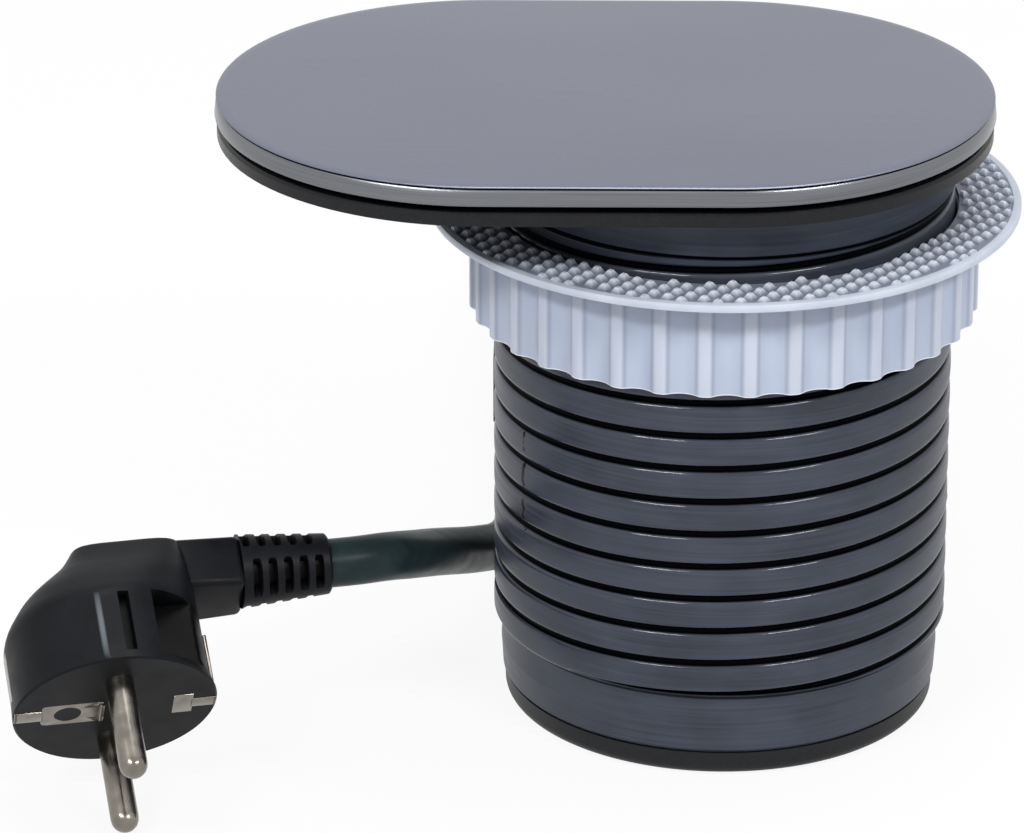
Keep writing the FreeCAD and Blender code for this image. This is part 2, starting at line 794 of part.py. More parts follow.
# Clamp nut and grip ring
def clamp_nut():
    body = new_body("clamp_nut_form")
    disc = circles(body, "nut_outside", [(0, 0)], nut_radius, S.nut_bottom)
    feature(body, "Pad", "nut_ring", disc, Length=S.nut_height)
    doc.recompute()
    flute_place = nut_radius + S.flute_radius - S.flute_depth
    flute = circles(body, "nut_flute_circle", [(flute_place, 0)], S.flute_radius,
                    S.nut_bottom)
    groove = feature(body, "Pocket", "nut_flute", flute, Length=S.nut_height + 1)
    groove.Reversed = True
    doc.recompute()
    repeat_round(body, "nut_flutes", [groove], S.flute_count)
    doc.recompute()
    bore = circles(body, "nut_bore_circle", [(0, 0)], S.barrel_radius + S.nut_clearance,
                   S.nut_bottom)
    hole = feature(body, "Pocket", "nut_bore", bore, Length=S.nut_height + 1)
    hole.Reversed = True
    body.Tip = hole
    doc.recompute()
    finish(fuse("clamp_nut", body, *[nut_lug(i) for i in range(int(float(S.lug_count)))]),
           "clamp_nut")


def nut_lug(index):
    """A short stretch of inside thread that runs in the barrel's groove."""
    pitch, count = float(S.thread_pitch), int(float(S.lug_count))
    turn = 360.0 * index / count
    reach = float(S.lug_angle)
    wall = float(S.barrel_radius + S.nut_clearance) + 0.4
    tip = float(S.barrel_radius + S.nut_clearance - S.lug_depth)
    half = float(S.lug_width) / 2
    rise = float(S.thread_start) + pitch * turn / 360.0
    turns_up = math.ceil((float(S.nut_bottom) + pitch / 2 - rise) / pitch)
    z = rise + turns_up * pitch
    spine = Part.makeHelix(pitch, pitch * reach / 360.0, tip)
    corners = [FreeCAD.Vector(r, 0, dz) for r, dz in
               ((tip, -half * 0.6), (wall, -half), (wall, half), (tip, half * 0.6))]
    section = Part.makePolygon(corners + corners[:1])
    shape = Part.Wire(spine.Edges).makePipeShell([section], True, True)
    place = FreeCAD.Placement(FreeCAD.Vector(0, 0, z),
                              FreeCAD.Rotation(FreeCAD.Vector(0, 0, 1), turn))
    return solid("nut_lug_%d" % index, shape, place)


def grip_ring():
    body = new_body("grip_ring")
    low = S.nut_bottom + S.nut_height + S.ring_gap
    disc = feature(body, "Pad", "ring_disc",
                   circles(body, "ring_outside", [(0, 0)], ring_radius, low),
                   Length=S.ring_thickness)
    body.Tip = bevel_edges(body, "ring_edges", disc, S.ring_edge,
                           level(low + S.ring_thickness))
    doc.recompute()
    bore = circles(body, "ring_bore_circle", [(0, 0)], S.barrel_radius + S.nut_clearance, low)
    hole = feature(body, "Pocket", "ring_bore", bore, Length=S.ring_thickness + 1)
    hole.Reversed = True
    finish(body, "grip_ring")


# Socket insert, contacts and shutter
def socket_insert():
    body = new_body("insert_form")
    profile = polygon(body, "insert_profile", "XZ_Plane", [
        (S.well_radius, base_top),
        (S.insert_flange_radius, base_top),
        (S.insert_flange_radius, S.base_bottom),
        (S.cup_radius, S.base_bottom),
        (S.cup_radius, floor_bottom),
        (0, floor_bottom),
        (0, well_floor),
        (S.well_radius, well_floor),
    ])
    revolve(body, "insert_cup", profile)
    doc.recompute()
    holes = circles(body, "insert_pin_circles", [(0, pin_offset), (0, -pin_offset)],
                    S.pin_hole_radius, floor_bottom)
    feature(body, "Pocket", "insert_pin_holes", holes,
            Length=S.floor_thickness).Reversed = True
    centre = circles(body, "insert_centre_circle", [(0, 0)],
                     S.centre_screw_radius + S.screw_clearance, floor_bottom)
    feature(body, "Pocket", "insert_centre_hole", centre,
            Length=S.floor_thickness).Reversed = True
    doc.recompute()
    ribs = []
    for side in (-1, 1):
        outer = (S.well_radius + S.cup_radius) / 2
        rib = block("insert_rib_%d" % side, S.rib_width, outer - S.well_radius + S.rib_height,
                    S.well_depth - S.earth_slot_margin, -S.rib_width / 2,
                    (S.well_radius - S.rib_height + outer) / 2 * side, well_floor)
        ribs.append(rib)
    built = fuse("insert_solid", body, *ribs)
    slot_length = S.cup_radius - S.well_radius + 3
    slots = [block("insert_earth_slot_left", slot_length, S.earth_slot_width,
                   S.well_depth - S.earth_slot_margin + S.floor_thickness,
                   -S.cup_radius - 1, 0, floor_bottom),
             block("insert_earth_slot_right", slot_length, S.earth_slot_width,
                   S.well_depth - S.earth_slot_margin + S.floor_thickness,
                   S.well_radius - 2, 0, floor_bottom)]
    centres = around(S.insert_screw_circle, 2, 90)
    holes = [cylinder("insert_screw_hole_%d" % i, S.fine_screw_radius + S.screw_clearance,
                      S.base_thickness, x, y, S.base_bottom)
             for i, (x, y) in enumerate(centres)]
    sinks = [countersink("insert_screw_sink_%d" % i, x, y, base_top)
             for i, (x, y) in enumerate(centres)]
    finish(cut("socket_insert", built, *slots, *holes, *sinks), "socket_insert")
    screws = [countersunk_screw("insert_screw_%d" % i, S.base_thickness + S.seat_flange,
                                x, y, base_top - S.screw_clearance)
              for i, (x, y) in enumerate(centres)]
    finish(together("insert_screws", screws), "insert_screws")


def contact_carrier():
    top = floor_bottom - S.screw_clearance
    disc = cylinder("carrier_disc", S.carrier_body_radius, top - carrier_body_bottom,
                    0, 0, carrier_body_bottom)
    play = S.shutter_play
    front = S.shutter_front + S.shutter_travel + play
    back = S.shutter_back + play
    recess = block("carrier_recess", front + back, S.shutter_width + play * 2,
                   S.shutter_depth, -back, 0, recess_floor)
    spring_room = block("carrier_spring_slot", S.spring_length + S.shutter_front + play,
                        S.spring_radius * 2 + play * 2, S.shutter_depth, 0,
                        pin_offset, recess_floor)
    post = cylinder("carrier_post", S.post_radius, top - recess_floor, 0, 0, recess_floor)
    cavities = [cylinder("carrier_cavity_%d" % side, S.sleeve_radius + S.sleeve_play,
                         top - carrier_body_bottom, 0, pin_offset * side,
                         carrier_body_bottom) for side in (-1, 1)]
    hole = cylinder("carrier_screw_hole", S.centre_screw_radius + S.screw_clearance,
                    14, 0, 0, top - 14)
    hollow = cut("carrier_hollow", disc, recess, spring_room, *cavities)
    finish(cut("contact_carrier", fuse("carrier_with_post", hollow, post), hole),
           "contact_carrier")
    head_low = well_floor + S.screw_clearance
    finish(fuse("carrier_screw",
                cylinder("carrier_screw_head", S.centre_head_radius, S.centre_head_height,
                         0, 0, head_low),
                cylinder("carrier_screw_shank", S.centre_screw_radius, 13, 0, 0,
                         head_low - 13)), "carrier_screw")


def shutter():
    low = recess_floor + (S.shutter_depth - S.shutter_thickness) / 2
    plate = block("shutter_plate", S.shutter_front + S.shutter_back, S.shutter_width,
                  S.shutter_thickness, -S.shutter_back, 0, low)
    holes = [cylinder("shutter_pin_hole_%d" % side, S.pin_hole_radius, S.shutter_thickness,
                      -S.shutter_travel, pin_offset * side, low) for side in (-1, 1)]
    gap = S.post_radius + S.shutter_play
    slot = block("shutter_post_slot", S.shutter_travel + gap * 2, gap * 2,
                 S.shutter_thickness, -S.shutter_travel - gap, 0, low)
    finish(cut("shutter", plate, slot, *holes), "shutter")
    start = S.shutter_front + 0.1
    middle = recess_floor + S.shutter_depth / 2
    coil = along_x(cylinder("spring_outside", S.spring_radius, S.spring_length, start,
                            pin_offset, middle))
    bore = along_x(cylinder("spring_inside", S.spring_radius - S.spring_wire,
                            S.spring_length, start, pin_offset, middle))
    finish(cut("shutter_spring", coil, bore), "shutter_spring")


def contacts():
    top = recess_floor - S.shutter_play
    box_top = carrier_body_bottom - S.screw_clearance
    sleeves, screws = [], []
    half = S.terminal_width / 2
    head_start = half + 0.05
    for side in (-1, 1):
        y = pin_offset * side
        tube = cylinder("sleeve_tube_%d" % side, S.sleeve_radius, top - box_top, 0, y,
                        box_top)
        box = block("sleeve_terminal_%d" % side, S.terminal_width, S.terminal_width,
                    S.terminal_height, -half, y, box_top - S.terminal_height)
        bore = cylinder("sleeve_bore_%d" % side, S.sleeve_bore, top - box_top, 0, y, box_top)
        wire = cylinder("sleeve_wire_hole_%d" % side, S.wire_hole_radius, S.wire_hole_depth,
                        0, y, box_top - S.terminal_height)
        middle = box_top - S.terminal_height / 2
        screw_hole = along_x(cylinder("sleeve_screw_hole_%d" % side,
                                      S.terminal_screw_radius + S.screw_clearance, half,
                                      0, y, middle))
        sleeves.append(cut("contact_sleeve_%d" % side, fuse("sleeve_solid_%d" % side, tube,
                                                            box), bore, wire, screw_hole))
        head = along_x(cylinder("terminal_head_%d" % side, S.terminal_head_radius, 1.2,
                                head_start, y, middle))
        shank = along_x(cylinder("terminal_shank_%d" % side, S.terminal_screw_radius, half,
                                 head_start - half + S.wire_hole_radius, y, middle))
        screws.append(fuse("terminal_screw_%d" % side, head, shank))
    finish(together("contact_sleeves", sleeves), "contact_sleeves")

    bar_top = carrier_body_bottom - 0.2
    arm_top = base_top - S.earth_slot_margin - 0.6
    reach = S.earth_arm_place + S.earth_metal
    bar = block("earth_bar", reach * 2, S.earth_width, S.earth_metal, -reach, 0,
                bar_top - S.earth_metal)
    arms = [block("earth_arm_%d" % side, S.earth_metal, S.earth_width,
                  arm_top - bar_top + S.earth_metal,
                  (S.earth_arm_place + S.earth_metal / 2) * side - S.earth_metal / 2, 0,
                  bar_top - S.earth_metal) for side in (-1, 1)]
    box_low = bar_top - S.earth_metal - S.terminal_height
    box = block("earth_terminal", S.terminal_width, S.earth_width, S.terminal_height,
                -half, 0, box_low)
    wire = cylinder("earth_wire_hole", S.wire_hole_radius, S.wire_hole_depth, 0, 0, box_low)
    middle = box_low + S.terminal_height / 2
    screw_hole = along_x(cylinder("earth_screw_hole",
                                  S.terminal_screw_radius + S.screw_clearance, half,
                                  0, 0, middle))
    # Spring tips of the arms, bent inwards where they stand in the well's wall slots
    tips = []
    for side in (-1, 1):
        tip = block("earth_tip_%d" % side, 1.6, S.earth_width - 1, S.earth_metal,
                    (S.earth_arm_place - 0.7) * side - 0.8, 0, arm_top - 4)
        tips.append(tip)
    strap = fuse("earth_strap_solid", bar, box, *arms, *tips)
    finish(cut("earth_strap", strap, wire, screw_hole), "earth_strap")
    head = along_x(cylinder("terminal_head_earth", S.terminal_head_radius, 1.2, head_start,
                            0, middle))
    shank = along_x(cylinder("terminal_shank_earth", S.terminal_screw_radius, half,
                             head_start - half + S.wire_hole_radius, 0, middle))
    screws.append(fuse("terminal_screw_earth", head, shank))
    finish(together("terminal_screws", screws), "terminal_screws")
    return box_low, box_top - S.terminal_height


# Lead: free stretches, the stretch inside and the wires
def rounded_path(name, route, diameter, show=True):
    """Straight runs joined by tangent arcs as large as the runs allow."""
    points = [FreeCAD.Vector(*p) for p in route]
    edges, at, radii = [], points[0], []
    for before, corner, after in zip(points, points[1:], points[2:]):
        came, goes = corner - before, after - corner
        half = came.getAngle(goes) / 2
        tangent = 0.45 * min(came.Length, goes.Length)
        radius = tangent / math.tan(half)
        radii.append(radius)
        start = corner - came.normalize() * tangent
        end = corner + goes.normalize() * tangent
        inward = (goes - came).normalize()
        middle = corner + inward * (radius / math.cos(half) - radius)
        edges.append(Part.LineSegment(at, start).toShape())
        edges.append(Part.Arc(start, middle, end).toShape())
        at = end
    edges.append(Part.LineSegment(at, points[-1]).toShape())
    if show:
        print(name, "radii in diameters", [round(r / diameter, 1) for r in radii])
    return Part.Wire(edges)


def swept(name, path, radius):
    """A round section along a path, its volume set against section times length."""
    start = path.Edges[0]
    circle = Part.Circle(start.valueAt(start.FirstParameter),
                         start.tangentAt(start.FirstParameter), radius)
    shape = path.makePipeShell([Part.Wire(circle.toShape())], True, False)
    print(name, "length", round(path.Length, 1), "volume ratio",
          round(shape.Volume / (math.pi * radius ** 2 * path.Length), 4))
    return shape


def place_on_exit(along, height):
    """A point over the lead's line inside the barrel, at a distance from the axis."""
    turn = math.radians(float(S.exit_angle))
    return (along * math.cos(turn), along * math.sin(turn), height)


def hank_columns():
    """Where the hank's strands run: first the outermost on the right, then inwards."""
    pitch = float(S.cord_diameter + S.cord_gap)
    middle, fold = float(S.hank_middle), float(S.fold_radius)
    outer = fold + 1.5 * pitch
    right = [middle + outer - pitch * i for i in range(3)]
    left = [middle - outer + pitch * i for i in range(2)]
    return right, left


def hank_height(layer):
    pitch = float(S.cord_diameter + S.cord_gap)
    return float(cord_radius + S.hank_lift) + pitch * layer


def cord_hank():
    """Three and a half loops: in on the floor, up a layer along a run, out on top."""
    right, left = hank_columns()
    near, far = float(S.hank_near), float(S.hank_near + S.hank_run)
    low, high = hank_height(0), hank_height(1)
    edges = []

    def run(x, y1, z1, y2, z2):
        a, b = FreeCAD.Vector(x, y1, z1), FreeCAD.Vector(x, y2, z2)
        if z1 == z2:
            edges.append(Part.LineSegment(a, b).toShape())
            return
        middle = (a + b) / 2
        length, rise = abs(y2 - y1) / 2, (z2 - z1) / 2
        radius = (length ** 2 + rise ** 2) / (2 * rise)
        way = 1 if y2 > y1 else -1
        sag = radius - math.sqrt(radius ** 2 - (length / 2) ** 2)
        edges.append(Part.Arc(a, FreeCAD.Vector(x, y1 + way * length / 2, z1 + sag),
                              middle).toShape())
        edges.append(Part.Arc(middle, FreeCAD.Vector(x, y2 - way * length / 2, z2 - sag),
                              b).toShape())

    def fold(x1, x2, y, z, way):
        reach = abs(x2 - x1) / 2
        edges.append(Part.Arc(FreeCAD.Vector(x1, y, z),
                              FreeCAD.Vector((x1 + x2) / 2, y + way * reach, z),
                              FreeCAD.Vector(x2, y, z)).toShape())

    run(right[0], CORD_TO_HANK[-1][1], low, far, low)
    fold(right[0], left[0], far, low, 1)
    run(left[0], far, low, near, low)
    fold(left[0], right[1], near, low, -1)
    run(right[1], near, low, far, low)
    fold(right[1], left[1], far, low, 1)
    run(left[1], far, low, near, low)
    fold(left[1], right[2], near, low, -1)
    run(right[2], near, low, far, high)
    fold(right[2], left[1], far, high, 1)
    run(left[1], far, high, near, high)
    fold(left[1], right[1], near, high, -1)
    run(right[1], near, high, far, high)
    fold(right[1], left[0], far, high, 1)
    run(left[0], far, high, near, high)
    path = Part.Wire(edges)
    own_gap(path)
    finish(solid("cord_hank", swept("cord_hank", path, float(cord_radius))), "cord_hank")
    return path.Length


def own_gap(path):
    """Prints the least gap of the hank to itself, measured on points of its line."""
    step = 2.0
    points = path.discretize(Distance=step)
    skip = int(3 * float(S.cord_diameter) / step)
    least = min(p.distanceToPoint(q) for i, p in enumerate(points)
                for q in points[i + skip:])
    print("cord_hank least gap to itself", round(least - float(S.cord_diameter), 2))


RIGHT_COLUMNS, LEFT_COLUMNS = hank_columns()
# From the relief in the cap's wall down to the hank's outermost strand
CORD_TO_HANK = [
    place_on_exit(float(S.relief_end), float(S.exit_height)),
    place_on_exit(65.0, float(S.exit_height)),
    (39.9, 60.8, 8.6),
    (RIGHT_COLUMNS[0], 70.0, 6.2),
    (RIGHT_COLUMNS[0], 80.0, hank_height(0)),
    (RIGHT_COLUMNS[0], 91.0, hank_height(0)),
]


def plug_frame():
    """Where the plug lies: pins down and forward, lead leaving to the right and back."""
    yaw = FreeCAD.Rotation(FreeCAD.Vector(0, 0, 1), float(S.plug_yaw))
    pitch = FreeCAD.Rotation(FreeCAD.Vector(1, 0, 0), -float(S.plug_pitch))
    return FreeCAD.Placement(FreeCAD.Vector(float(S.plug_x), float(S.plug_y),
                                            float(S.plug_z)), yaw.multiply(pitch))


def cord_to_plug_route():
    start = plug_frame().multVec(FreeCAD.Vector(float(S.plug_relief_end), 0,
                                                float(S.neck_height)))
    ahead = plug_frame().Rotation.multVec(FreeCAD.Vector(1, 0, 0))
    first = start + ahead * 5.0
    return [
        tuple(start),
        tuple(first),
        (-57.6, -20.4, 33.3),
        (-53.4, -13.2, 30.4),
        (-49.3, -1.0, 25.4),
        (-43.8, 19.0, 16.6),
        (-37.7, 34.3, 10.8),
        (-34.9, 47.6, 10.9),
        (LEFT_COLUMNS[0], 63.0, hank_height(1)),
        (LEFT_COLUMNS[0], float(S.hank_near), hank_height(1)),
    ]


def lead():
    radius, diameter = float(cord_radius), float(S.cord_diameter)
    out = rounded_path("cord_from_barrel", CORD_TO_HANK, diameter)
    finish(solid("cord_from_barrel", swept("cord_from_barrel", out, radius)),
           "cord_from_barrel")
    back = rounded_path("cord_to_plug", cord_to_plug_route(), diameter)
    finish(solid("cord_to_plug", swept("cord_to_plug", back, radius)), "cord_to_plug")
    total = out.Length + back.Length + cord_hank()
    print("lead between its two reliefs", round(total))
    inside = rounded_path("cord_inside", [
        place_on_exit(float(S.relief_inner_end), float(S.exit_height)),
        place_on_exit(float(S.inside_turn), float(S.exit_height)),
        place_on_exit(float(S.inside_bend), float(S.inside_bend_height)),
        place_on_exit(float(S.inside_end), float(S.inside_rise)),
        place_on_exit(float(S.inside_end), float(sheath_end)),
    ], diameter)
    finish(solid("cord_inside", swept("cord_inside", inside, radius)), "cord_inside")


def wires(earth_low, sleeve_low):
    """Three insulated wires from the sheath's end up into the terminals."""
    radius = float(S.wire_radius)
    x0, y0, sheath_top = place_on_exit(float(S.inside_end), float(sheath_end))
    spread = 2.3
    for name, turn, y, top in (
        ("wire_live", 90, float(pin_offset), float(sleeve_low)),
        ("wire_neutral", 270, -float(pin_offset), float(sleeve_low)),
        ("wire_earth", 180, 0.0, float(earth_low)),
    ):
        x = x0 + spread * math.cos(math.radians(turn))
        start_y = y0 + spread * math.sin(math.radians(turn))
        end = top + float(S.wire_hole_depth) - 0.5
        route = [(x, start_y, sheath_top + 0.1), (x, start_y, sheath_top + 3.0),
                 (0, y, top - 4.0), (0, y, end)]
        path = rounded_path(name, route, radius * 2, show=False)
        finish(solid(name, swept(name, path, radius)), name)


def hank_tie():
    """A strap round the four strands on the hank's left side."""
    body = new_body("hank_tie")
    gap, wall = S.tie_clearance, S.tie_thickness
    pitch = S.cord_diameter + S.cord_gap
    outer_column = S.hank_middle - S.fold_radius - pitch * 1.5
    low = S.hank_lift - gap
    high = S.hank_lift + S.cord_diameter + pitch + gap
    left = outer_column - cord_radius - gap
    right = outer_column + pitch + cord_radius + gap
    corner = cord_radius * 0.55

    def ring(name, grow):
        # The outline of the strap on the XZ plane, its corners cut round the strands
        g = grow
        points = [
            (left - g, low + corner), (left + corner, low - g), (right - corner, low - g),
            (right + g, low + corner), (right + g, high - corner), (right - corner, high + g),
            (left + corner, high + g), (left - g, high - corner),
        ]
        return polygon(body, name, "XZ_Plane", points, -S.tie_place)

    outside = feature(body, "Pad", "tie_outside", ring("tie_outline", wall),
                      Length=S.tie_width)
    outside.Midplane = True
    doc.recompute()
    hole = feature(body, "Pocket", "tie_inside", ring("tie_bore", as_size(0)),
                   Length=S.tie_width + 2)
    hole.Midplane = True
    finish(body, "hank_tie")


# Plug, drawn with its face in the XY plane, pins along -Z and the lead along X
def drawn_pad(name, role, points, length, offset=0):
    body = new_body(name + "_form")
    pad = feature(body, "Pad", name, polygon(body, name + "_outline", role, points, offset),
                  Length=length)
    pad.Midplane = True
    return body


def mirrored_pads(name, role, points, length, offset=0):
    """The same form on the plug's upper and lower side, its outline given by (y, z)."""
    return [drawn_pad("%s_%d" % (name, side), role, [(y * side, z) for y, z in points],
                      length, offset) for side in (-1, 1)]


def plug_body():
    width, length, r = S.face_half_width, S.plug_length, S.face_radius
    panel = r - S.panel_set_back
    side = drawn_pad("plug_side", "XZ_Plane", [
        (-width, 0), (width, 0), (width - 0.8, length * 0.5), (width - 1.2, length - 2),
        (width - 2.6, length), (width * -0.23, length), (width * -0.39, length * 0.86),
        (width * -0.8, length * 0.67), (-width - 0.4, length * 0.5),
    ], r * 2 + 4)
    end = drawn_pad("plug_end", "YZ_Plane", [
        (-r, 0), (r, 0), (panel, 0.8), (panel, S.panel_height), (r * 0.5, length - 1),
        (r * 0.44, length), (r * -0.44, length), (r * -0.5, length - 1),
        (-panel, S.panel_height), (-panel, 0.8),
    ], r * 2 + 4)
    rim = cylinder("plug_round", r, length, 0, 0, 0)
    main = common("plug_main", side, end, rim)
    low = S.neck_height - S.neck_half_height
    high = length - 0.3
    neck_side = drawn_pad("plug_neck_side", "XZ_Plane", [
        (5, low - 3.5), (width - 2, low - 3.5), (width, low - 0.6), (S.neck_end, low),
        (S.neck_end - 1.2, high), (5, high),
    ], S.neck_half_width * 2)
    neck_round = along_x(cylinder("plug_neck_round", S.neck_half_width + 1.2, S.neck_end + 4,
                                  0, 0, S.neck_height - 1))
    neck = common("plug_neck_bar", neck_side, neck_round)
    # Hollow beside the raised panel, under the body's slope, and the panel's groove
    hollow_length = width - S.panel_edge + 1
    hollows = mirrored_pads("plug_hollow", "YZ_Plane", [
        (S.recess_wall, 1.2), (r + 1, 1.2), (r + 1, S.panel_height - 1),
        (S.recess_wall, S.panel_height + 3.8),
    ], hollow_length, S.panel_edge + hollow_length / 2)
    grooves = [block("plug_groove_%d" % s, S.groove_width, r - S.groove_floor + 1,
                     S.panel_height - 1, S.groove_place - S.groove_width / 2,
                     (S.groove_floor + r + 1) / 2 * s, 1) for s in (-1, 1)]
    holes = [cylinder("plug_pin_hole_%d" % s, S.pin_radius + 0.05, S.pin_root + 0.2, 0,
                      pin_offset * s, 0) for s in (-1, 1)]
    gap = 0.05
    notch = S.clip_metal + gap
    reach = notch + 2
    across = S.clip_width + gap * 2
    pad_across = S.clip_pad_width + gap * 2
    recesses = [
        block("plug_clip_recess_left", reach, across, S.clip_side + gap, -width - 2, 0, 0),
        block("plug_clip_recess_right", reach, across, S.clip_side + gap, width - notch, 0, 0),
        block("plug_strip_recess_left", S.clip_long, across, notch, -width, 0, 0),
        block("plug_strip_recess_right", S.clip_short, across, notch, width - S.clip_short,
              0, 0),
        block("plug_pad_recess_left", S.clip_long_pad + gap * 2, pad_across, notch,
              S.clip_long - S.clip_long_pad - width - gap, 0, 0),
        block("plug_pad_recess_right", S.clip_short_pad + gap * 2, pad_across, notch,
              width - S.clip_short - gap, 0, 0),
        cylinder("plug_earth_hole", S.clip_hole_radius, S.clip_hole_depth,
                 S.clip_long - S.clip_long_pad / 2 - width, 0, 0),
    ]
    built = fuse("plug_solid", cut("plug_shaped", main, *hollows, *grooves), neck)
    item = cut("plug_body", built, *holes, *recesses)
    item.Placement = plug_frame()
    finish(item, "plug_body")


def plug_metal():
    pins = []
    for side in (-1, 1):
        y = pin_offset * side
        straight = S.pin_length + S.pin_root - S.pin_round
        shank = cylinder("pin_shank_%d" % side, S.pin_radius, straight, 0, y,
                         S.pin_round - S.pin_length)
        tip = cone("pin_tip_%d" % side, S.pin_radius - S.pin_round * 0.75, S.pin_radius,
                   S.pin_round, 0, y, -S.pin_length)
        pins.append(fuse("pin_%d" % side, shank, tip))
    group = together("plug_pins", pins)
    group.Placement = plug_frame()
    finish(group, "plug_pins")
    width, metal = S.face_half_width, S.clip_metal
    long_strip = block("clip_strip_left", metal, S.clip_width, S.clip_side, -width, 0, 0)
    long_face = block("clip_face_left", S.clip_long, S.clip_width, metal, -width, 0, 0)
    long_pad = block("clip_pad_left", S.clip_long_pad, S.clip_pad_width, metal,
                     S.clip_long - S.clip_long_pad - width, 0, 0)
    hole = cylinder("clip_hole", S.clip_hole_radius, metal,
                    S.clip_long - S.clip_long_pad / 2 - width, 0, 0)
    short_strip = block("clip_strip_right", metal, S.clip_width, S.clip_side,
                        width - metal, 0, 0)
    short_face = block("clip_face_right", S.clip_short, S.clip_width, metal,
                       width - S.clip_short, 0, 0)
    short_pad = block("clip_pad_right", S.clip_short_pad, S.clip_pad_width, metal,
                      width - S.clip_short, 0, 0)
    group = together("plug_earth_clips", [
        cut("clip_left", fuse("clip_left_solid", long_strip, long_face, long_pad), hole),
        fuse("clip_right", short_strip, short_face, short_pad),
    ])
    group.Placement = plug_frame()
    finish(group, "plug_earth_clips")


def plug_relief():
    """Ribbed bend relief between the plug's neck and the lead."""
    body = new_body("plug_relief")
    start, end = S.neck_end + 0.05, S.plug_relief_end
    count = int(float(S.plug_relief_ribs))
    step = (end - start) / (2 * count + 1)
    fall = (S.plug_relief_root - S.plug_relief_tip) / (2 * count + 1)
    notch = 0.9
    points = [(0, start), (S.plug_relief_root, start)]
    for index in range(count):
        near, far = 2 * index + 1, 2 * index + 2
        points += [
            (S.plug_relief_root - fall * near, start + step * near),
            (S.plug_relief_root - fall * near - notch, start + step * near),
            (S.plug_relief_root - fall * far - notch, start + step * far),
            (S.plug_relief_root - fall * far, start + step * far),
        ]
    points += [(S.plug_relief_tip, end), (0, end)]
    revolve(body, "plug_relief_form", polygon(body, "plug_relief_profile", "XZ_Plane", points))
    lying = FreeCAD.Placement(FreeCAD.Vector(0, 0, float(S.neck_height)),
                              FreeCAD.Rotation(FreeCAD.Vector(0, 1, 0), 90))
    body.Placement = plug_frame().multiply(lying)
    finish(body, "plug_relief")


def build():
    threaded_barrel()
    bottom_cap()
    bottom_cover()
    bottom_screws()
    cord_clamp()
    cord_relief()
    base_plate()
    lid()
    clamp_nut()
    grip_ring()
    socket_insert()
    contact_carrier()
    shutter()
    earth_low, sleeve_low = contacts()
    wires(earth_low, sleeve_low)
    lead()
    hank_tie()
    plug_body()
    plug_metal()
    plug_relief()
    doc.recompute()


def export():
    for item in doc.Objects:
        if "Invalid" in item.State or "Error" in item.State:
            raise RuntimeError("%s failed: %s" % (item.Label, item.State))
    for name, item in parts.items():
        if item.Shape.isNull() or not item.Shape.isValid() or not item.Shape.Solids:
            raise RuntimeError("%s has no valid solid" % name)
    os.makedirs("parts", exist_ok=True)
    for name, item in parts.items():
        item.Shape.exportStep("parts/%s.step" % name)
        print(name, len(item.Shape.Solids), "solids", round(item.Shape.Volume / 1000, 2), "cm3")


build()
export()
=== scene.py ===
import bpy
import bmesh
import json
import math
from mathutils import Matrix, Vector


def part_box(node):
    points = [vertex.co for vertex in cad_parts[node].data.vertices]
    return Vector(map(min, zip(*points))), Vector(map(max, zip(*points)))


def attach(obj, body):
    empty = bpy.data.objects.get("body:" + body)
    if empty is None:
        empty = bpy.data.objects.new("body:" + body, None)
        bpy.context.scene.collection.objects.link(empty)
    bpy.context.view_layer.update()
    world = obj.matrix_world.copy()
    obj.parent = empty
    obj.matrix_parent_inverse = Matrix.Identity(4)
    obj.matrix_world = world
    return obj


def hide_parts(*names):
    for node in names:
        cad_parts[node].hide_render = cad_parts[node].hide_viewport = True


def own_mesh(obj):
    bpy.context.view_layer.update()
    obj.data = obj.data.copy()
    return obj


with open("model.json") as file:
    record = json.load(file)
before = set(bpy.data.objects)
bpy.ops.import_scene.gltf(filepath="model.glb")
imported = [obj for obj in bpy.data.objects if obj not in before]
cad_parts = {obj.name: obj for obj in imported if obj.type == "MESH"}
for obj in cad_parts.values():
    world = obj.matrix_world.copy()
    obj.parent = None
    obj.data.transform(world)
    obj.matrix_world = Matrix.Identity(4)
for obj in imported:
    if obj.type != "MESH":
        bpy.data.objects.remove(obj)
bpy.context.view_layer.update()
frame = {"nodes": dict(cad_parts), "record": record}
nodes = frame["nodes"]
mm = 0.001
print("frame loaded:", len(nodes), "nodes")


# Small helpers
def linear(hexColour):
    # sRGB hex to the linear values that a shader socket takes
    channels = [int(hexColour[i:i + 2], 16) / 255 for i in (0, 2, 4)]
    return [c / 12.92 if c <= 0.04045 else ((c + 0.055) / 1.055) ** 2.4 for c in channels] + [1.0]


def addNode(tree, kind, links=None, stops=(), **settings):
    # links: input name or number -> a plain value or another node's output
    # stops: a colour ramp's positions, rising, each with its hex colour
    node = tree.nodes.new(kind)
    for key, value in settings.items():
        setattr(node, key, value)
    for name, source in (links or {}).items():
        if isinstance(source, bpy.types.NodeSocket):
            tree.links.new(source, node.inputs[name])
        else:
            node.inputs[name].default_value = source
    for index, (position, shade) in enumerate(stops):
        elements = node.color_ramp.elements
        element = elements[index] if index < len(elements) else elements.new(position)
        element.position, element.color = position, linear(shade)
    return node


def newMaterial(name, **values):
    material = bpy.data.materials.new(name)
    material.use_nodes = True
    tree = material.node_tree
    shader = tree.nodes["Principled BSDF"]
    for key, value in values.items():
        shader.inputs[key.replace("_", " ")].default_value = value
    where = addNode(tree, "ShaderNodeTexCoord").outputs["Object"]
    return material, tree, shader, where


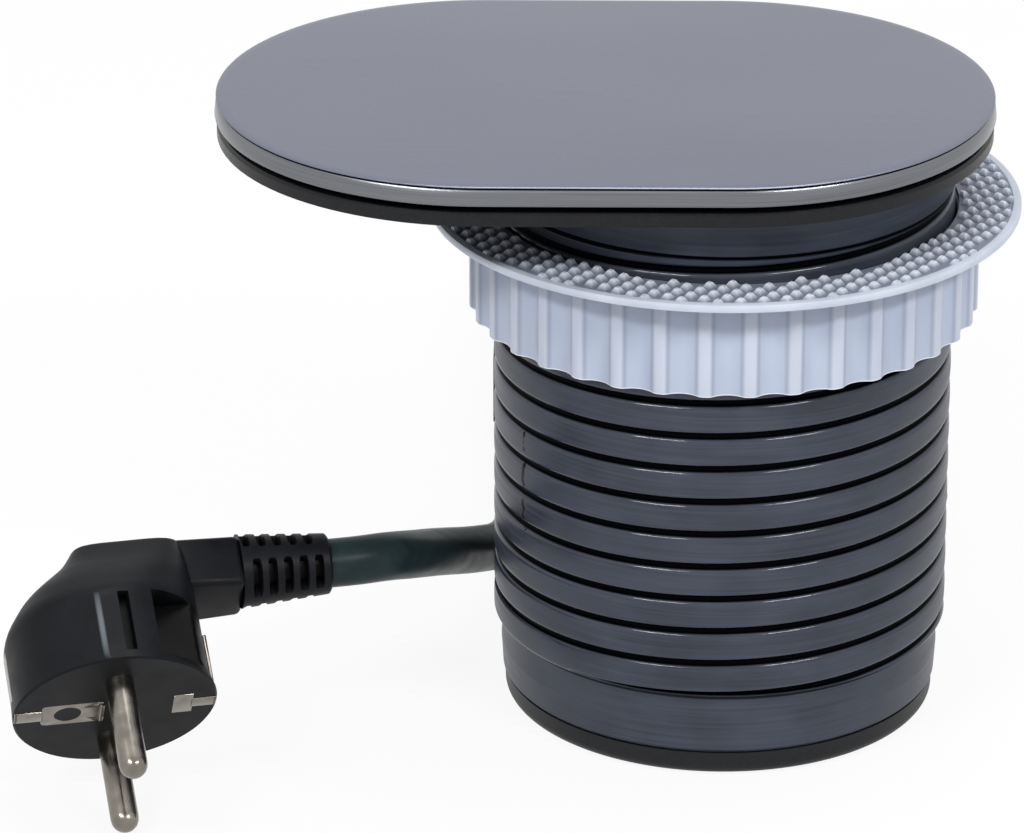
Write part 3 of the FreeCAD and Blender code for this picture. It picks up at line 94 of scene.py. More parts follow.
def stretchedNoise(tree, where, size, detail=2.0, roughness=0.5):
    # size: how long the grain is along x, y and z, in mm
    scale = [1000.0 / s for s in size]
    placed = addNode(tree, "ShaderNodeMapping", {"Vector": where, "Scale": scale})
    return addNode(tree, "ShaderNodeTexNoise", {
        "Vector": placed.outputs["Vector"], "Scale": 1.0, "Detail": detail, "Roughness": roughness,
    }).outputs["Fac"]


def axisDistance(tree, where):
    # how far a point lies from the barrel's axis, in metres
    flat = addNode(tree, "ShaderNodeVectorMath", {0: where, 1: (1, 1, 0)}, operation="MULTIPLY")
    return addNode(tree, "ShaderNodeVectorMath", {0: flat.outputs[0]},
                   operation="LENGTH").outputs["Value"]


def setSurface(tree, shader, colour, roughness=None, relief=None, depth=0.0):
    # roughness: a socket, or a pattern and the two values that it swings between
    # depth: how deep the relief is, in mm
    tree.links.new(colour, shader.inputs["Base Color"])
    if isinstance(roughness, tuple):
        pattern, low, high = roughness
        roughness = addNode(tree, "ShaderNodeMapRange", {
            "Value": pattern, "From Min": 0.3, "From Max": 0.7, "To Min": low, "To Max": high,
        }).outputs["Result"]
    if roughness:
        tree.links.new(roughness, shader.inputs["Roughness"])
    if relief:
        bump = addNode(tree, "ShaderNodeBump", {
            "Height": relief, "Distance": depth * mm, "Strength": 1.0,
        })
        tree.links.new(bump.outputs["Normal"], shader.inputs["Normal"])


# Finishes. A mix of colours has them at its inputs 6 and 7 and the result at output 2.
barrelFinish = {
    # groove: near black, the painted shade of the thread's grooves, laid between shadeFrom and
    # shadeTo
    "dark": "282B34", "light": "414754", "groove": "08090C", "rough": (0.32, 0.46),
    "shadeFrom": 39.18, "shadeTo": 38.95, "grooveRough": 0.6,  # distances from the axis
    "edgeFrom": 39.47, "edgeTo": 39.4, "edgeRough": 0.12,
    "jointTurn": 210.0, "jointWidth": 0.7, "jointLow": 37.0, "jointHigh": 57.5,
}


def mouldJoint(tree, where):
    # 1 on the ragged nicks that a joint of the mould left up one side of the thread
    f = barrelFinish
    turn = math.radians(f["jointTurn"])
    middle = (f["jointLow"] + f["jointHigh"]) / 2
    beside = addNode(tree, "ShaderNodeVectorMath", {
        0: where, 1: (-math.sin(turn), math.cos(turn), 0)}, operation="DOT_PRODUCT")
    onSide = addNode(tree, "ShaderNodeVectorMath", {
        0: where, 1: (math.cos(turn), math.sin(turn), 0)}, operation="DOT_PRODUCT")
    away = addNode(tree, "ShaderNodeMath", {0: beside.outputs["Value"]}, operation="ABSOLUTE")
    ragged = addNode(tree, "ShaderNodeMapRange", {
        "Value": stretchedNoise(tree, where, (2, 2, 2.4), 3.0), "From Min": 0.4,
        "From Max": 0.62, "To Min": -0.3 * mm, "To Max": f["jointWidth"] * mm,
    })
    height = addNode(tree, "ShaderNodeSeparateXYZ", {0: where}).outputs["Z"]
    nick = 1.0
    for values, operation in (
            ({0: away.outputs[0], 1: ragged.outputs["Result"]}, "LESS_THAN"),
            ({0: onSide.outputs["Value"], 1: 0.0}, "GREATER_THAN"),
            ({0: height, 1: middle * mm, 2: (f["jointHigh"] - middle) * mm}, "COMPARE")):
        passed = addNode(tree, "ShaderNodeMath", values, operation=operation)
        nick = addNode(tree, "ShaderNodeMath", {0: nick, 1: passed.outputs[0]},
                       operation="MULTIPLY").outputs[0]
    return nick


def turnedBarrelPlastic(name, grooved):
    # Glass-filled polyamide, slate grey: fine lines run round it from the mould's turning;
    # on the barrel the thread's grooves are painted near black as their shade, and its crests are
    # worn glossy
    f = barrelFinish
    material, tree, shader, where = newMaterial(name, IOR=1.5, Specular_IOR_Level=0.28)
    lines = stretchedNoise(tree, where, (26, 26, 0.35), 3.0)
    clouds = stretchedNoise(tree, where, (14, 14, 9))
    fine = addNode(tree, "ShaderNodeValToRGB", {"Fac": lines},
                   [(0.25, f["dark"]), (0.8, f["light"])])
    broad = addNode(tree, "ShaderNodeValToRGB", {"Fac": clouds},
                    [(0.35, f["dark"]), (0.65, f["light"])])
    colour = addNode(tree, "ShaderNodeMix", {
        "Factor": 0.4, 6: fine.outputs["Color"], 7: broad.outputs["Color"],
    }, data_type="RGBA").outputs[2]
    roughness = (lines, *f["rough"])
    if grooved:
        reach = axisDistance(tree, where)
        inShadedGroove, onEdge = [addNode(tree, "ShaderNodeMapRange", {
            "Value": reach, "From Min": f[start] * mm, "From Max": f[end] * mm,
        }).outputs["Result"] for start, end in (("shadeFrom", "shadeTo"), ("edgeFrom", "edgeTo"))]
        # painted shade in the grooves, together with the real dark nicks of the mould's joint
        dark = addNode(tree, "ShaderNodeMath", {0: inShadedGroove, 1: mouldJoint(tree, where)},
                       operation="MAXIMUM")
        colour = addNode(tree, "ShaderNodeMix", {
            "Factor": dark.outputs[0], 6: colour, 7: linear(f["groove"]),
        }, data_type="RGBA").outputs[2]
        # painted shade: the grooves, like the joint's nicks, are painted near black and made a
        # black metal, which has no gloss of its own, so they show no reflection
        tree.links.new(dark.outputs[0], shader.inputs["Metallic"])
        roughness = addNode(tree, "ShaderNodeMapRange", {
            "Value": lines, "From Min": 0.3, "From Max": 0.7, "To Min": f["rough"][0],
            "To Max": f["rough"][1],
        }).outputs["Result"]
        for share, rough in ((onEdge, f["edgeRough"]), (inShadedGroove, f["grooveRough"])):
            roughness = addNode(tree, "ShaderNodeMix", {0: share, 2: roughness, 3: rough},
                                data_type="FLOAT").outputs[0]
    setSurface(tree, shader, colour, roughness, lines, 0.012)
    return material


def mouldedAbs(name, dark, light, rough, depth=0.012):
    # ABS from an eroded mould: a fine even grain that breaks the gloss
    material, tree, shader, where = newMaterial(name, IOR=1.5, Specular_IOR_Level=0.25)
    grain = stretchedNoise(tree, where, (0.5, 0.5, 0.5), 2.0)
    colour = addNode(tree, "ShaderNodeValToRGB", {"Fac": grain}, [(0.35, dark), (0.65, light)])
    setSurface(tree, shader, colour.outputs["Color"], (grain, rough - 0.05, rough + 0.05),
               grain, depth)
    return material


def brushedSteel(name, dark, light, along, rough=0.3):
    # Stainless sheet, brushed one way: long hair lines that spread the reflection
    material, tree, shader, where = newMaterial(name, Metallic=1.0)
    hair = stretchedNoise(tree, where, along, 4.0, 0.6)
    soft = stretchedNoise(tree, where, (70, 45, 45), 1.0)
    fine, broad = [addNode(tree, "ShaderNodeValToRGB", {"Fac": pattern},
                           [(0.3, dark), (0.7, light)]) for pattern in (hair, soft)]
    colour = addNode(tree, "ShaderNodeMix", {
        "Factor": 0.35, 6: fine.outputs["Color"], 7: broad.outputs["Color"],
    }, data_type="RGBA").outputs[2]
    setSurface(tree, shader, colour, (hair, rough - 0.06, rough + 0.08), hair, 0.006)
    return material


nylonFinish = {
    "clouds": [(0.35, "A0A8B8"), (0.65, "B2B9C8")], "rough": (0.34, 0.44),
    # the nut: its lower edge painted near white as painted light, and painted light and shade
    # across each flute, with a thin dark line each side of a rib
    "edgeFrom": 73.35, "edgeTo": 73.1, "edge": "F4F6FA", "flutes": 36, "fluteShadeShare": 0.7,
    "fluteShadeStops": [(0.0, "ABB5C9"), (0.24, "A6B1C6"), (0.31, "8B95A8"), (0.38, "BAC0CE"),
                   (0.6, "BEC4D2"), (0.67, "8993A8"), (0.74, "A8B3C8"), (1.0, "ABB5C9")],
    # the ring: painted shade between the pyramids, a painted highlight on their tips, and painted
    # pale light from the rim outwards
    "tipFrom": 92.15, "tipTo": 92.85, "tip": "D2D8E2", "hollow": "788090", "rimGlowShare": 0.35,
    "rimFrom": 48.8, "rimTo": 49.3,
}


def milkyNylon(name):
    # Natural polyamide: light goes a few mm in; the finishes built on it paint its thin edges and
    # tips pale, as painted light
    material, tree, shader, where = newMaterial(
        name, IOR=1.5, Specular_IOR_Level=0.4, Subsurface_Weight=0.06,
        Subsurface_Radius=(1.0, 1.1, 1.3), Subsurface_Scale=1.0 * mm)
    clouds = stretchedNoise(tree, where, (9, 9, 14), 2.0)
    body = addNode(tree, "ShaderNodeValToRGB", {"Fac": clouds}, nylonFinish["clouds"])
    place = addNode(tree, "ShaderNodeSeparateXYZ", {0: where})
    return material, tree, shader, where, clouds, body.outputs["Color"], place


def flutedNylon(name):
    # painted light and shade: the light that the flutes' walls bend, and the darker foot of each
    # rib, are painted in the colour
    f = nylonFinish
    material, tree, shader, where, clouds, body, place = milkyNylon(name)
    turn = addNode(tree, "ShaderNodeMath", {0: place.outputs["Y"], 1: place.outputs["X"]},
                   operation="ARCTAN2")
    count = addNode(tree, "ShaderNodeMath", {0: turn.outputs[0], 1: f["flutes"] / (2 * math.pi)},
                    operation="MULTIPLY")
    share = addNode(tree, "ShaderNodeMath", {0: count.outputs[0]}, operation="FRACT")
    # painted light and shade, repeated once for each flute
    fluteLightAndShade = addNode(tree, "ShaderNodeValToRGB", {"Fac": share.outputs[0]}, f["fluteShadeStops"])
    body = addNode(tree, "ShaderNodeMix", {
        "Factor": f["fluteShadeShare"], 6: body, 7: fluteLightAndShade.outputs["Color"],
    }, data_type="RGBA").outputs[2]
    # painted light: the nut's lower edge is painted near white, as if glowing
    paintedGlow = addNode(tree, "ShaderNodeMapRange", {
        "Value": place.outputs["Z"], "From Min": f["edgeFrom"] * mm, "From Max": f["edgeTo"] * mm,
    })
    colour = addNode(tree, "ShaderNodeMix", {
        "Factor": paintedGlow.outputs["Result"], 6: body, 7: linear(f["edge"]),
    }, data_type="RGBA").outputs[2]
    setSurface(tree, shader, colour, (clouds, *f["rough"]))
    return material


def knurledNylon(name):
    f = nylonFinish
    material, tree, shader, where, clouds, body, place = milkyNylon(name)
    paintedGlow = addNode(tree, "ShaderNodeMapRange", {
        "Value": place.outputs["Z"], "From Min": f["tipFrom"] * mm, "From Max": f["tipTo"] * mm,
    })
    onRim = addNode(tree, "ShaderNodeMapRange", {
        "Value": axisDistance(tree, where), "From Min": f["rimFrom"] * mm,
        "From Max": f["rimTo"] * mm,
    })
    # painted light: the rim is mixed towards the tips' pale colour
    rim = addNode(tree, "ShaderNodeMix", {"Factor": f["rimGlowShare"], 6: body, 7: linear(f["tip"])},
                  data_type="RGBA")
    # painted shade in the hollows between the pyramids, painted highlight on their tips
    knurl = addNode(tree, "ShaderNodeMix", {
        "Factor": paintedGlow.outputs["Result"], 6: linear(f["hollow"]), 7: linear(f["tip"]),
    }, data_type="RGBA")
    colour = addNode(tree, "ShaderNodeMix", {
        "Factor": onRim.outputs["Result"], 6: knurl.outputs[2], 7: rim.outputs[2],
    }, data_type="RGBA").outputs[2]
    setSurface(tree, shader, colour, (clouds, *f["rough"]))
    return material


def platedMetal(name, dark, light, rough):
    # Plated turned part: bright with faint turning marks
    material, tree, shader, where = newMaterial(name, Metallic=1.0)
    marks = stretchedNoise(tree, where, (2.5, 2.5, 2.5), 1.0)
    colour = addNode(tree, "ShaderNodeValToRGB", {"Fac": marks}, [(0.35, dark), (0.65, light)])
    setSurface(tree, shader, colour.outputs["Color"], (marks, rough - 0.05, rough + 0.07))
    return material


def softPvc(name, dark, light, rough, shaded=False):
    # Flexible PVC: satin skin with faint flow marks
    material, tree, shader, where = newMaterial(name, IOR=1.5, Specular_IOR_Level=0.1)
    flow = stretchedNoise(tree, where, (4, 4, 4), 3.0)
    grain = stretchedNoise(tree, where, (0.35, 0.35, 0.35), 1.0)
    colour = addNode(tree, "ShaderNodeValToRGB", {"Fac": flow},
                     [(0.35, dark), (0.65, light)]).outputs["Color"]
    if shaded:
        # the mesh's own shade attribute: 1 for painted shade deep in a recess, -1 for a painted
        # highlight on a crease
        shade = addNode(tree, "ShaderNodeAttribute", attribute_name="shade").outputs["Fac"]
        paintedHighlight = addNode(tree, "ShaderNodeMath", {0: shade, 1: -1.0}, operation="MULTIPLY",
                         use_clamp=True).outputs[0]
        # painted shade near black, painted highlight pale grey
        for share, tint in ((shade, "020203"), (paintedHighlight, "5E666A")):
            colour = addNode(tree, "ShaderNodeMix", {"Factor": share, 6: colour, 7: linear(tint)},
                             data_type="RGBA").outputs[2]
    setSurface(tree, shader, colour, (flow, rough - 0.05, rough + 0.06), grain, 0.01)
    return material


def wovenTie(name, yarn=0.6):
    # Hook-and-loop strap: a tight weave, its yarns drawn 0.6 mm apart so that they show
    material, tree, shader, where = newMaterial(name, Roughness=0.85)
    weave = addNode(tree, "ShaderNodeTexWave", {
        "Vector": where, "Scale": 1000.0 / yarn / (2 * math.pi),
    }, bands_direction="Y").outputs["Fac"]
    colour = addNode(tree, "ShaderNodeValToRGB", {"Fac": weave}, [(0.2, "141416"), (0.8, "2A2A2D")])
    setSurface(tree, shader, colour.outputs["Color"], relief=weave, depth=0.08)
    return material


barrelPlastic = turnedBarrelPlastic("turnedBarrelPlastic", True)
capPlastic = turnedBarrelPlastic("turnedCapPlastic", False)
erodedAbs = mouldedAbs("erodedAbs", "101114", "18191C", 0.45)
satinAbs = mouldedAbs("satinAbs", "0E0F12", "15161A", 0.34, 0.006)
lidSteel = brushedSteel("lidSteel", "717483", "7E8190", (38, 0.18, 0.18))
rimSteel = brushedSteel("rimSteel", "66686C", "85878C", (38, 20, 0.2), 0.26)
nutNylon = flutedNylon("nutNylon")
ringNylon = knurledNylon("ringNylon")
nickelPlate = platedMetal("nickelPlate", "7C776F", "8B857D", 0.22)
zincPlate = platedMetal("zincPlate", "6C7074", "888C90", 0.36)
stampedBrass = platedMetal("stampedBrass", "C9A050", "DDB868", 0.3)
plugPvc = softPvc("plugPvc", "111215", "15161A", 0.44, shaded=True)
leadPvc = softPvc("leadPvc", "1D282A", "243133", 0.36)
tieWeave = wovenTie("wovenTie")
whiteAcetal = softPvc("whiteAcetal", "D6D6D2", "E4E4E0", 0.4)
brownPvc = softPvc("brownPvc", "5A351F", "6B4026", 0.4)
bluePvc = softPvc("bluePvc", "2A5AA8", "3468B8", 0.4)
earthPvc = softPvc("earthPvc", "8FA02A", "B4BE3A", 0.4)
print("finishes made")

finishOf = {
    "barrel": barrelPlastic, "cover": erodedAbs, "socket_plastic": satinAbs,
    "shutter": satinAbs, "nut": nutNylon, "lid_steel": lidSteel, "screw_steel": zincPlate,
    "contact_brass": stampedBrass, "pin_metal": nickelPlate, "plug": plugPvc,
    "cord_sheath": leadPvc, "tie": tieWeave, "washer": whiteAcetal, "wire_brown": brownPvc,
    "wire_blue": bluePvc, "wire_green_yellow": earthPvc,
}
for part in frame["record"]["subparts"]:
    mesh = nodes[part["node"]].data
    mesh.materials.clear()
    mesh.materials.append(finishOf[part["material_slot"]])
nodes["bottom_cap"].data.materials[0] = capPlastic

# Camera
cameraSet = {"place": (-24.0, -1043.1, 499.6), "down": 23.28, "turn": 0.68, "lens": 229.68}
cameraData = bpy.data.cameras.new("photoCamera")
cameraData.lens, cameraData.sensor_width = cameraSet["lens"], 36.0
cameraData.clip_start, cameraData.clip_end = 0.05, 20.0
camera = bpy.data.objects.new("photoCamera", cameraData)
bpy.context.scene.collection.objects.link(camera)
camera.location = [c * mm for c in cameraSet["place"]]
camera.rotation_euler = (math.radians(90 - cameraSet["down"]), 0, math.radians(cameraSet["turn"]))
bpy.context.scene.camera = camera

# Lead
leadSet = {
    "diameter": 8.4, "length": 1397, "pitch": 8.6, "low": 4.9, "middle": 1.9, "fold": 24.9,
    "near": 81.0, "far": 151.0, "pointsPerFold": 6,
    "fromBarrel": [(33.554, 47.92, 9.9), (37.282, 53.245, 9.9), (39.2, 60.8, 8.6),
                   (39.7, 70.0, 6.2), (39.7, 80.0, 4.9), (39.7, 91.0, 4.9)],
    "toPlug": [(-35.9, 63.0, 13.5), (-34.9, 47.6, 10.9), (-37.7, 34.3, 10.8),
               (-43.8, 19.0, 16.6), (-49.3, -1.0, 25.4), (-53.4, -13.2, 30.4),
               (-57.6, -20.4, 33.3), (-62.74, -24.07, 34.07), (-67.61, -25.21, 34.07)],
}


def hankFold(x1, x2, y, z, way):
    # half a turn of the hank: points outside the bend, one on each run beside it
    count = leadSet["pointsPerFold"]
    half = math.pi / (2 * count)
    radius = abs(x2 - x1) / 2
    middle, side = (x1 + x2) / 2, (x1 - x2) / 2
    points = [(x1, y - way * radius * math.tan(half), z)]
    for step in range(count):
        turn = half * (2 * step + 1)
        points.append((middle + side / math.cos(half) * math.cos(turn),
                       y + way * radius / math.cos(half) * math.sin(turn), z))
    return points + [(x2, y - way * radius * math.tan(half), z)]


def leadRoute():
    pitch, low = leadSet["pitch"], leadSet["low"]
    high, near, far = low + pitch, leadSet["near"], leadSet["far"]
    outer = leadSet["fold"] + 1.5 * pitch
    right = [leadSet["middle"] + outer - pitch * i for i in range(3)]
    left = [leadSet["middle"] - outer + pitch * i for i in range(2)]
    quarter = (far - near) / 4
    points = list(leadSet["fromBarrel"])
    points += hankFold(right[0], left[0], far, low, 1)
    points += hankFold(left[0], right[1], near, low, -1)
    points += hankFold(right[1], left[1], far, low, 1)
    points += hankFold(left[1], right[2], near, low, -1)
    points += [(right[2], near + quarter, low), (right[2], far - quarter, high)]
    points += hankFold(right[2], left[1], far, high, 1)
    points += hankFold(left[1], right[1], near, high, -1)
    points += hankFold(right[1], left[0], far, high, 1)
    return points + leadSet["toPlug"]


leadCurve = bpy.data.curves.new("lead", "CURVE")
leadCurve.dimensions = "3D"
leadCurve.bevel_depth = leadSet["diameter"] / 2 * mm
leadCurve.bevel_resolution = 7
leadCurve.use_fill_caps = True
route = leadRoute()
leadLine = leadCurve.splines.new("NURBS")
leadLine.points.add(len(route) - 1)
for point, place in zip(leadLine.points, route):
    point.co = (*[c * mm for c in place], 1.0)
leadLine.order_u = 3
leadLine.use_endpoint_u = True
leadLine.resolution_u = 8
leadCurve.materials.append(leadPvc)
lead = bpy.data.objects.new("lead", leadCurve)
bpy.context.scene.collection.objects.link(lead)
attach(lead, "housing")
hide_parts("cord_from_barrel", "cord_hank", "cord_to_plug")
print("lead laid:", len(route), "points")


# Making pieces
mergeWithin = 0.002  # mm


def finishPiece(name, bm, material, body, replaced=(), sharp=35.0):
    # merged, turned outwards, and smooth but for edges sharper than so many degrees
    bmesh.ops.remove_doubles(bm, verts=bm.verts, dist=mergeWithin * mm)
    bmesh.ops.recalc_face_normals(bm, faces=bm.faces)
    for face in bm.faces:
        face.smooth = True
    for edge in bm.edges:
        edge.smooth = len(edge.link_faces) == 2 and edge.calc_face_angle(0) < math.radians(sharp)
    mesh = bpy.data.meshes.new(name)
    bm.to_mesh(mesh)
    bm.free()
    mesh.materials.append(material)
    piece = bpy.data.objects.new(name, mesh)
    bpy.context.scene.collection.objects.link(piece)
    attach(piece, body)
    if replaced:
        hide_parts(*replaced)
    return piece


def edgeLoop(bm, places):
    verts = [bm.verts.new([c * mm for c in place]) for place in places]
    return [bm.edges.new(pair) for pair in zip(verts, verts[1:] + verts[:1])]


def stepLoop(bm, loop, height, out=0.0, radius=None, span=0.0):
    # extrudes a loop of edges to a new height, and further out or to a set radius
    made = bmesh.ops.extrude_edge_only(bm, edges=loop)["geom"]
    fresh = [g for g in made if isinstance(g, bmesh.types.BMVert)]
    for vert in fresh:
        centre = -span * mm if vert.co.x < -span * mm / 2 else 0.0
        across = Vector((vert.co.x - centre, vert.co.y))
        across.length = radius * mm if radius is not None else across.length + out * mm
        vert.co = (centre + across.x, across.y, height * mm)
    return [g for g in made if isinstance(g, bmesh.types.BMEdge) and set(g.verts) <= set(fresh)]


def loftRings(bm, rings, closed=False):
    # draws the first ring and extrudes it to the others, which have as many places;
    # a closed loft ends on its first ring, and finishPiece merges the two
    loop = edgeLoop(bm, rings[0])
    ends = [loop]
    row = [edge.verts[0] for edge in loop]
    for ring in rings[1:] + (rings[:1] if closed else []):
        made = set(bmesh.ops.extrude_edge_only(bm, edges=loop)["geom"])
        row = [next(edge.other_vert(vert) for edge in vert.link_edges
                    if edge.other_vert(vert) in made) for vert in row]
        for vert, place in zip(row, ring):
            vert.co = [c * mm for c in place]
        loop = [bm.edges.get(pair) for pair in zip(row, row[1:] + row[:1])]
    if not closed:
        for end in ends + [loop]:
            bmesh.ops.edgeloop_fill(bm, edges=end)


def ovalPlaces(radius, height, span, steps=72):
    # two half circles, one round the barrel's axis
    places = []
    for centre, first in ((0.0, -90.0), (-span, 90.0)):
        for step in range(steps + 1):
            turn = math.radians(first + 180.0 * step / steps)
            places.append((centre + radius * math.cos(turn), radius * math.sin(turn), height))
    return places


def softBlock(bm, shape, soft, segments):
    # a cube whose corners go where shape puts them, with its edges rounded
    made = bmesh.ops.create_cube(bm, size=1.0)["verts"]
    for vert in made:
        vert.co = [c * mm for c in shape(vert.co.x > 0, math.copysign(1, vert.co.y),
                                         vert.co.z > 0)]
    edges = list({edge for vert in made for edge in vert.link_edges})
    bmesh.ops.bevel(bm, geom=edges, offset=soft * mm, segments=segments, profile=0.5,
                    affect="EDGES", material=-1)


# Barrel: one pitch of its skin is turned up the thread, then cut level at both ends
barrelSet = {
    "radius": 39.5, "bore": 36.6, "seat": 23.2, "low": 15.5, "pitch": 6.0, "grooveStart": 11.8,
    "threadTop": 95.8, "neckTop": 104.3, "flange": 3.5, "brim": 0.1, "turns": 16,
    "stepsPerTurn": 180,
    # the thread's section over one pitch as depth and rise; its upper edge is worn round
    "section": [(0.0, 0.0), (0.01, 0.95), (0.03, 1.45), (0.07, 1.68), (0.115, 1.8),
                (0.165, 1.9), (0.235, 2.01), (0.315, 2.11), (0.42, 2.2), (0.95, 2.45),
                (1.0, 2.6), (1.0, 3.15), (0.95, 3.3), (0.26, 3.5), (0.12, 3.62), (0.05, 3.9),
                (0.01, 4.7), (0.0, 6.0)],
    # depth and rise of the undercut above the thread, and of the foot's chamfer
    "undercut": [(0.15, 0.02), (0.6, 0.12), (0.6, 0.68), (0.12, 0.78), (0.0, 0.95)],
    "foot": [(0.0, 0.7), (0.2, 0.4), (0.7, 0.0)],
}


def barrelSkin():
    b = barrelSet
    bm = bmesh.new()
    start = b["grooveStart"] - 1.5 * b["pitch"]
    verts = [bm.verts.new(((b["radius"] - deep) * mm, 0, (start + rise) * mm))
             for deep, rise in b["section"]]
    edges = [bm.edges.new(pair) for pair in zip(verts, verts[1:])]
    bmesh.ops.spin(bm, geom=verts + edges, cent=(0, 0, 0), axis=(0, 0, 1),
                   dvec=(0, 0, b["pitch"] * mm / b["stepsPerTurn"]), angle=2 * math.pi,
                   steps=b["stepsPerTurn"])
    firstTurn = bm.verts[:] + bm.edges[:] + bm.faces[:]
    for turn in range(1, b["turns"]):
        copied = bmesh.ops.duplicate(bm, geom=firstTurn)["geom"]
        bmesh.ops.translate(bm, vec=(0, 0, turn * b["pitch"] * mm),
                            verts=[g for g in copied if isinstance(g, bmesh.types.BMVert)])
    bmesh.ops.remove_doubles(bm, verts=bm.verts, dist=0.01 * mm)
    ends = []
    for height, way in ((b["low"] + b["foot"][0][1], -1), (b["threadTop"], 1)):
        cut = bmesh.ops.bisect_plane(bm, geom=bm.verts[:] + bm.edges[:] + bm.faces[:],
                                     dist=0.0001 * mm, plane_co=(0, 0, height * mm),
                                     plane_no=(0, 0, way), clear_outer=True)["geom_cut"]
        ends.append([g for g in cut if isinstance(g, bmesh.types.BMEdge)])
    low, high = ends
    for deep, rise in b["undercut"]:
        high = stepLoop(bm, high, b["threadTop"] + rise, radius=b["radius"] - deep)
    neck = b["neckTop"]
    for radius, height in ((b["radius"], neck - b["brim"]), (b["radius"] - b["brim"], neck),
                           (b["seat"], neck), (b["seat"], neck - b["flange"]),
                           (b["bore"], neck - b["flange"]), (b["bore"], b["low"])):
        high = stepLoop(bm, high, height, radius=radius)
    for deep, rise in b["foot"][1:]:
        low = stepLoop(bm, low, b["low"] + rise, radius=b["radius"] - deep)
    bmesh.ops.bridge_loops(bm, edges=low + high)
    return finishPiece("barrelSkin", bm, barrelPlastic, "housing",
                       ("threaded_barrel",), 40.0)


barrelSkin()

# Nut: a fluted outline raised ring by ring, its lower edge painted as a thin pale line of light
nutSet = {
    "radius": 43.8, "bore": 39.8, "low": 73.0, "high": 90.8, "flutes": 36, "flute": 4.2,
    "depth": 1.2, "pointsPerFlute": 14, "blend": 0.16, "footShare": 0.9925, "boreChamfer": 0.2,
    "edge": [(0.15, 0.03), (0.13, 0.14), (0.05, 0.35)], "topChamfer": 0.3,
}


def nutPiece():
    n = nutSet
    far = n["radius"] + n["flute"] - n["depth"]
    places = []
    for step in range(n["flutes"] * n["pointsPerFlute"]):
        turn = 360.0 * step / (n["flutes"] * n["pointsPerFlute"])
        off = math.radians(turn - 360.0 / n["flutes"] * round(turn * n["flutes"] / 360.0))
        inside = n["flute"] ** 2 - (far * math.sin(off)) ** 2
        radius = far * math.cos(off) - math.sqrt(inside) if inside > 0 else n["radius"]
        # a soft change from flute to rib
        deep = (n["radius"] - radius) / n["blend"]
        radius = (n["radius"] - n["blend"] * math.log1p(math.exp(deep))) * n["footShare"]
        angle = math.radians(turn)
        places.append((radius * math.cos(angle), radius * math.sin(angle), n["low"]))
    bm = bmesh.new()
    loop = first = edgeLoop(bm, places)
    for out, rise in n["edge"]:
        loop = stepLoop(bm, loop, n["low"] + rise, out=out)
    loop = stepLoop(bm, loop, n["high"] - n["topChamfer"])
    loop = stepLoop(bm, loop, n["high"], out=-n["topChamfer"])
    chamfer = n["boreChamfer"]
    for out, height in ((chamfer, n["high"]), (0.0, n["high"] - chamfer),
                        (0.0, n["low"] + chamfer), (chamfer, n["low"])):
        loop = stepLoop(bm, loop, height, radius=n["bore"] + out)
    bmesh.ops.bridge_loops(bm, edges=first + loop)
    return finishPiece("flutedNut", bm, nutNylon, "nut", ("clamp_nut",), 50.0)


nutPiece()

# Grip ring: a thin disc with a smooth rim; its knurl is a square lattice of small pyramids
ringSet = {
    "radius": 50.8, "bore": 40.2, "low": 91.1, "face": 92.05, "rim": 1.35, "rimRise": 0.5,
    "rimSlope": 0.4, "lowerRound": [(0.5, 0.0), (0.15, 0.12), (0.0, 0.45)],
    "upperRound": [(0.0, 0.4), (0.15, 0.1), (0.5, 0.0)],
    # the pyramids: how far apart, turned and wide, and where on the face they stand
    "pitch": 2.72, "turn": -36.0, "reach": 0.54, "tip": 0.33, "height": 0.9, "sunk": 0.1,
    "boreGap": 0.03, "rimLap": 0.1, "innerMargin": 0.5, "outerMargin": 0.3,
}


def knurl(bm):
    # pyramids whose corners are held between the bore and the rim
    r = ringSet
    inside, outside = r["bore"] + r["boreGap"], r["radius"] - r["rim"] + r["rimLap"]
    count = int(outside / r["pitch"]) + 1
    reach = r["pitch"] * r["reach"]
    lattice = Matrix.Rotation(math.radians(r["turn"]), 4, "Z")
    square = Matrix.Rotation(math.radians(45), 4, "Z")
    size = Matrix.Diagonal((reach * mm, reach * mm, (r["height"] + r["sunk"]) * mm, 1.0))
    middleHeight = (r["face"] + (r["height"] - r["sunk"]) / 2) * mm
    for row in range(-count, count + 1):
        for column in range(-count, count + 1):
            middle = lattice @ Vector((row * r["pitch"], column * r["pitch"], 0))
            if not inside + r["innerMargin"] < middle.length < outside - r["outerMargin"]:
                continue
            bump = bmesh.ops.create_cone(bm, cap_ends=True, segments=4, radius1=1.0,
                                         radius2=r["tip"], depth=1.0)["verts"]
            place = Matrix.Translation((middle.x * mm, middle.y * mm, middleHeight))
            bmesh.ops.transform(bm, matrix=place @ lattice @ square @ size, verts=bump)
            for vert in bump:
                across = Vector((vert.co.x, vert.co.y))
                across.length = min(max(across.length, inside * mm), outside * mm)
                vert.co.x, vert.co.y = across


def gripRing():
    r = ringSet
    bm = bmesh.new()
    turns = [math.radians(2 * i) for i in range(180)]
    loop = first = edgeLoop(bm, [(r["bore"] * math.cos(turn), r["bore"] * math.sin(turn),
                                  r["low"]) for turn in turns])
    rim, face, top = r["radius"], r["face"], r["face"] + r["rimRise"]
    profile = [(rim - out, r["low"] + rise) for out, rise in r["lowerRound"]]
    profile += [(rim - out, top - drop) for out, drop in r["upperRound"]]
    profile += [(rim - r["rim"], top), (rim - r["rim"] - r["rimSlope"], face), (r["bore"], face)]
    for radius, height in profile:
        loop = stepLoop(bm, loop, height, radius=radius)
    bmesh.ops.bridge_loops(bm, edges=first + loop)
    knurl(bm)
    return finishPiece("gripRing", bm, ringNylon, "ring", ("grip_ring",), 30.0)


gripRing()

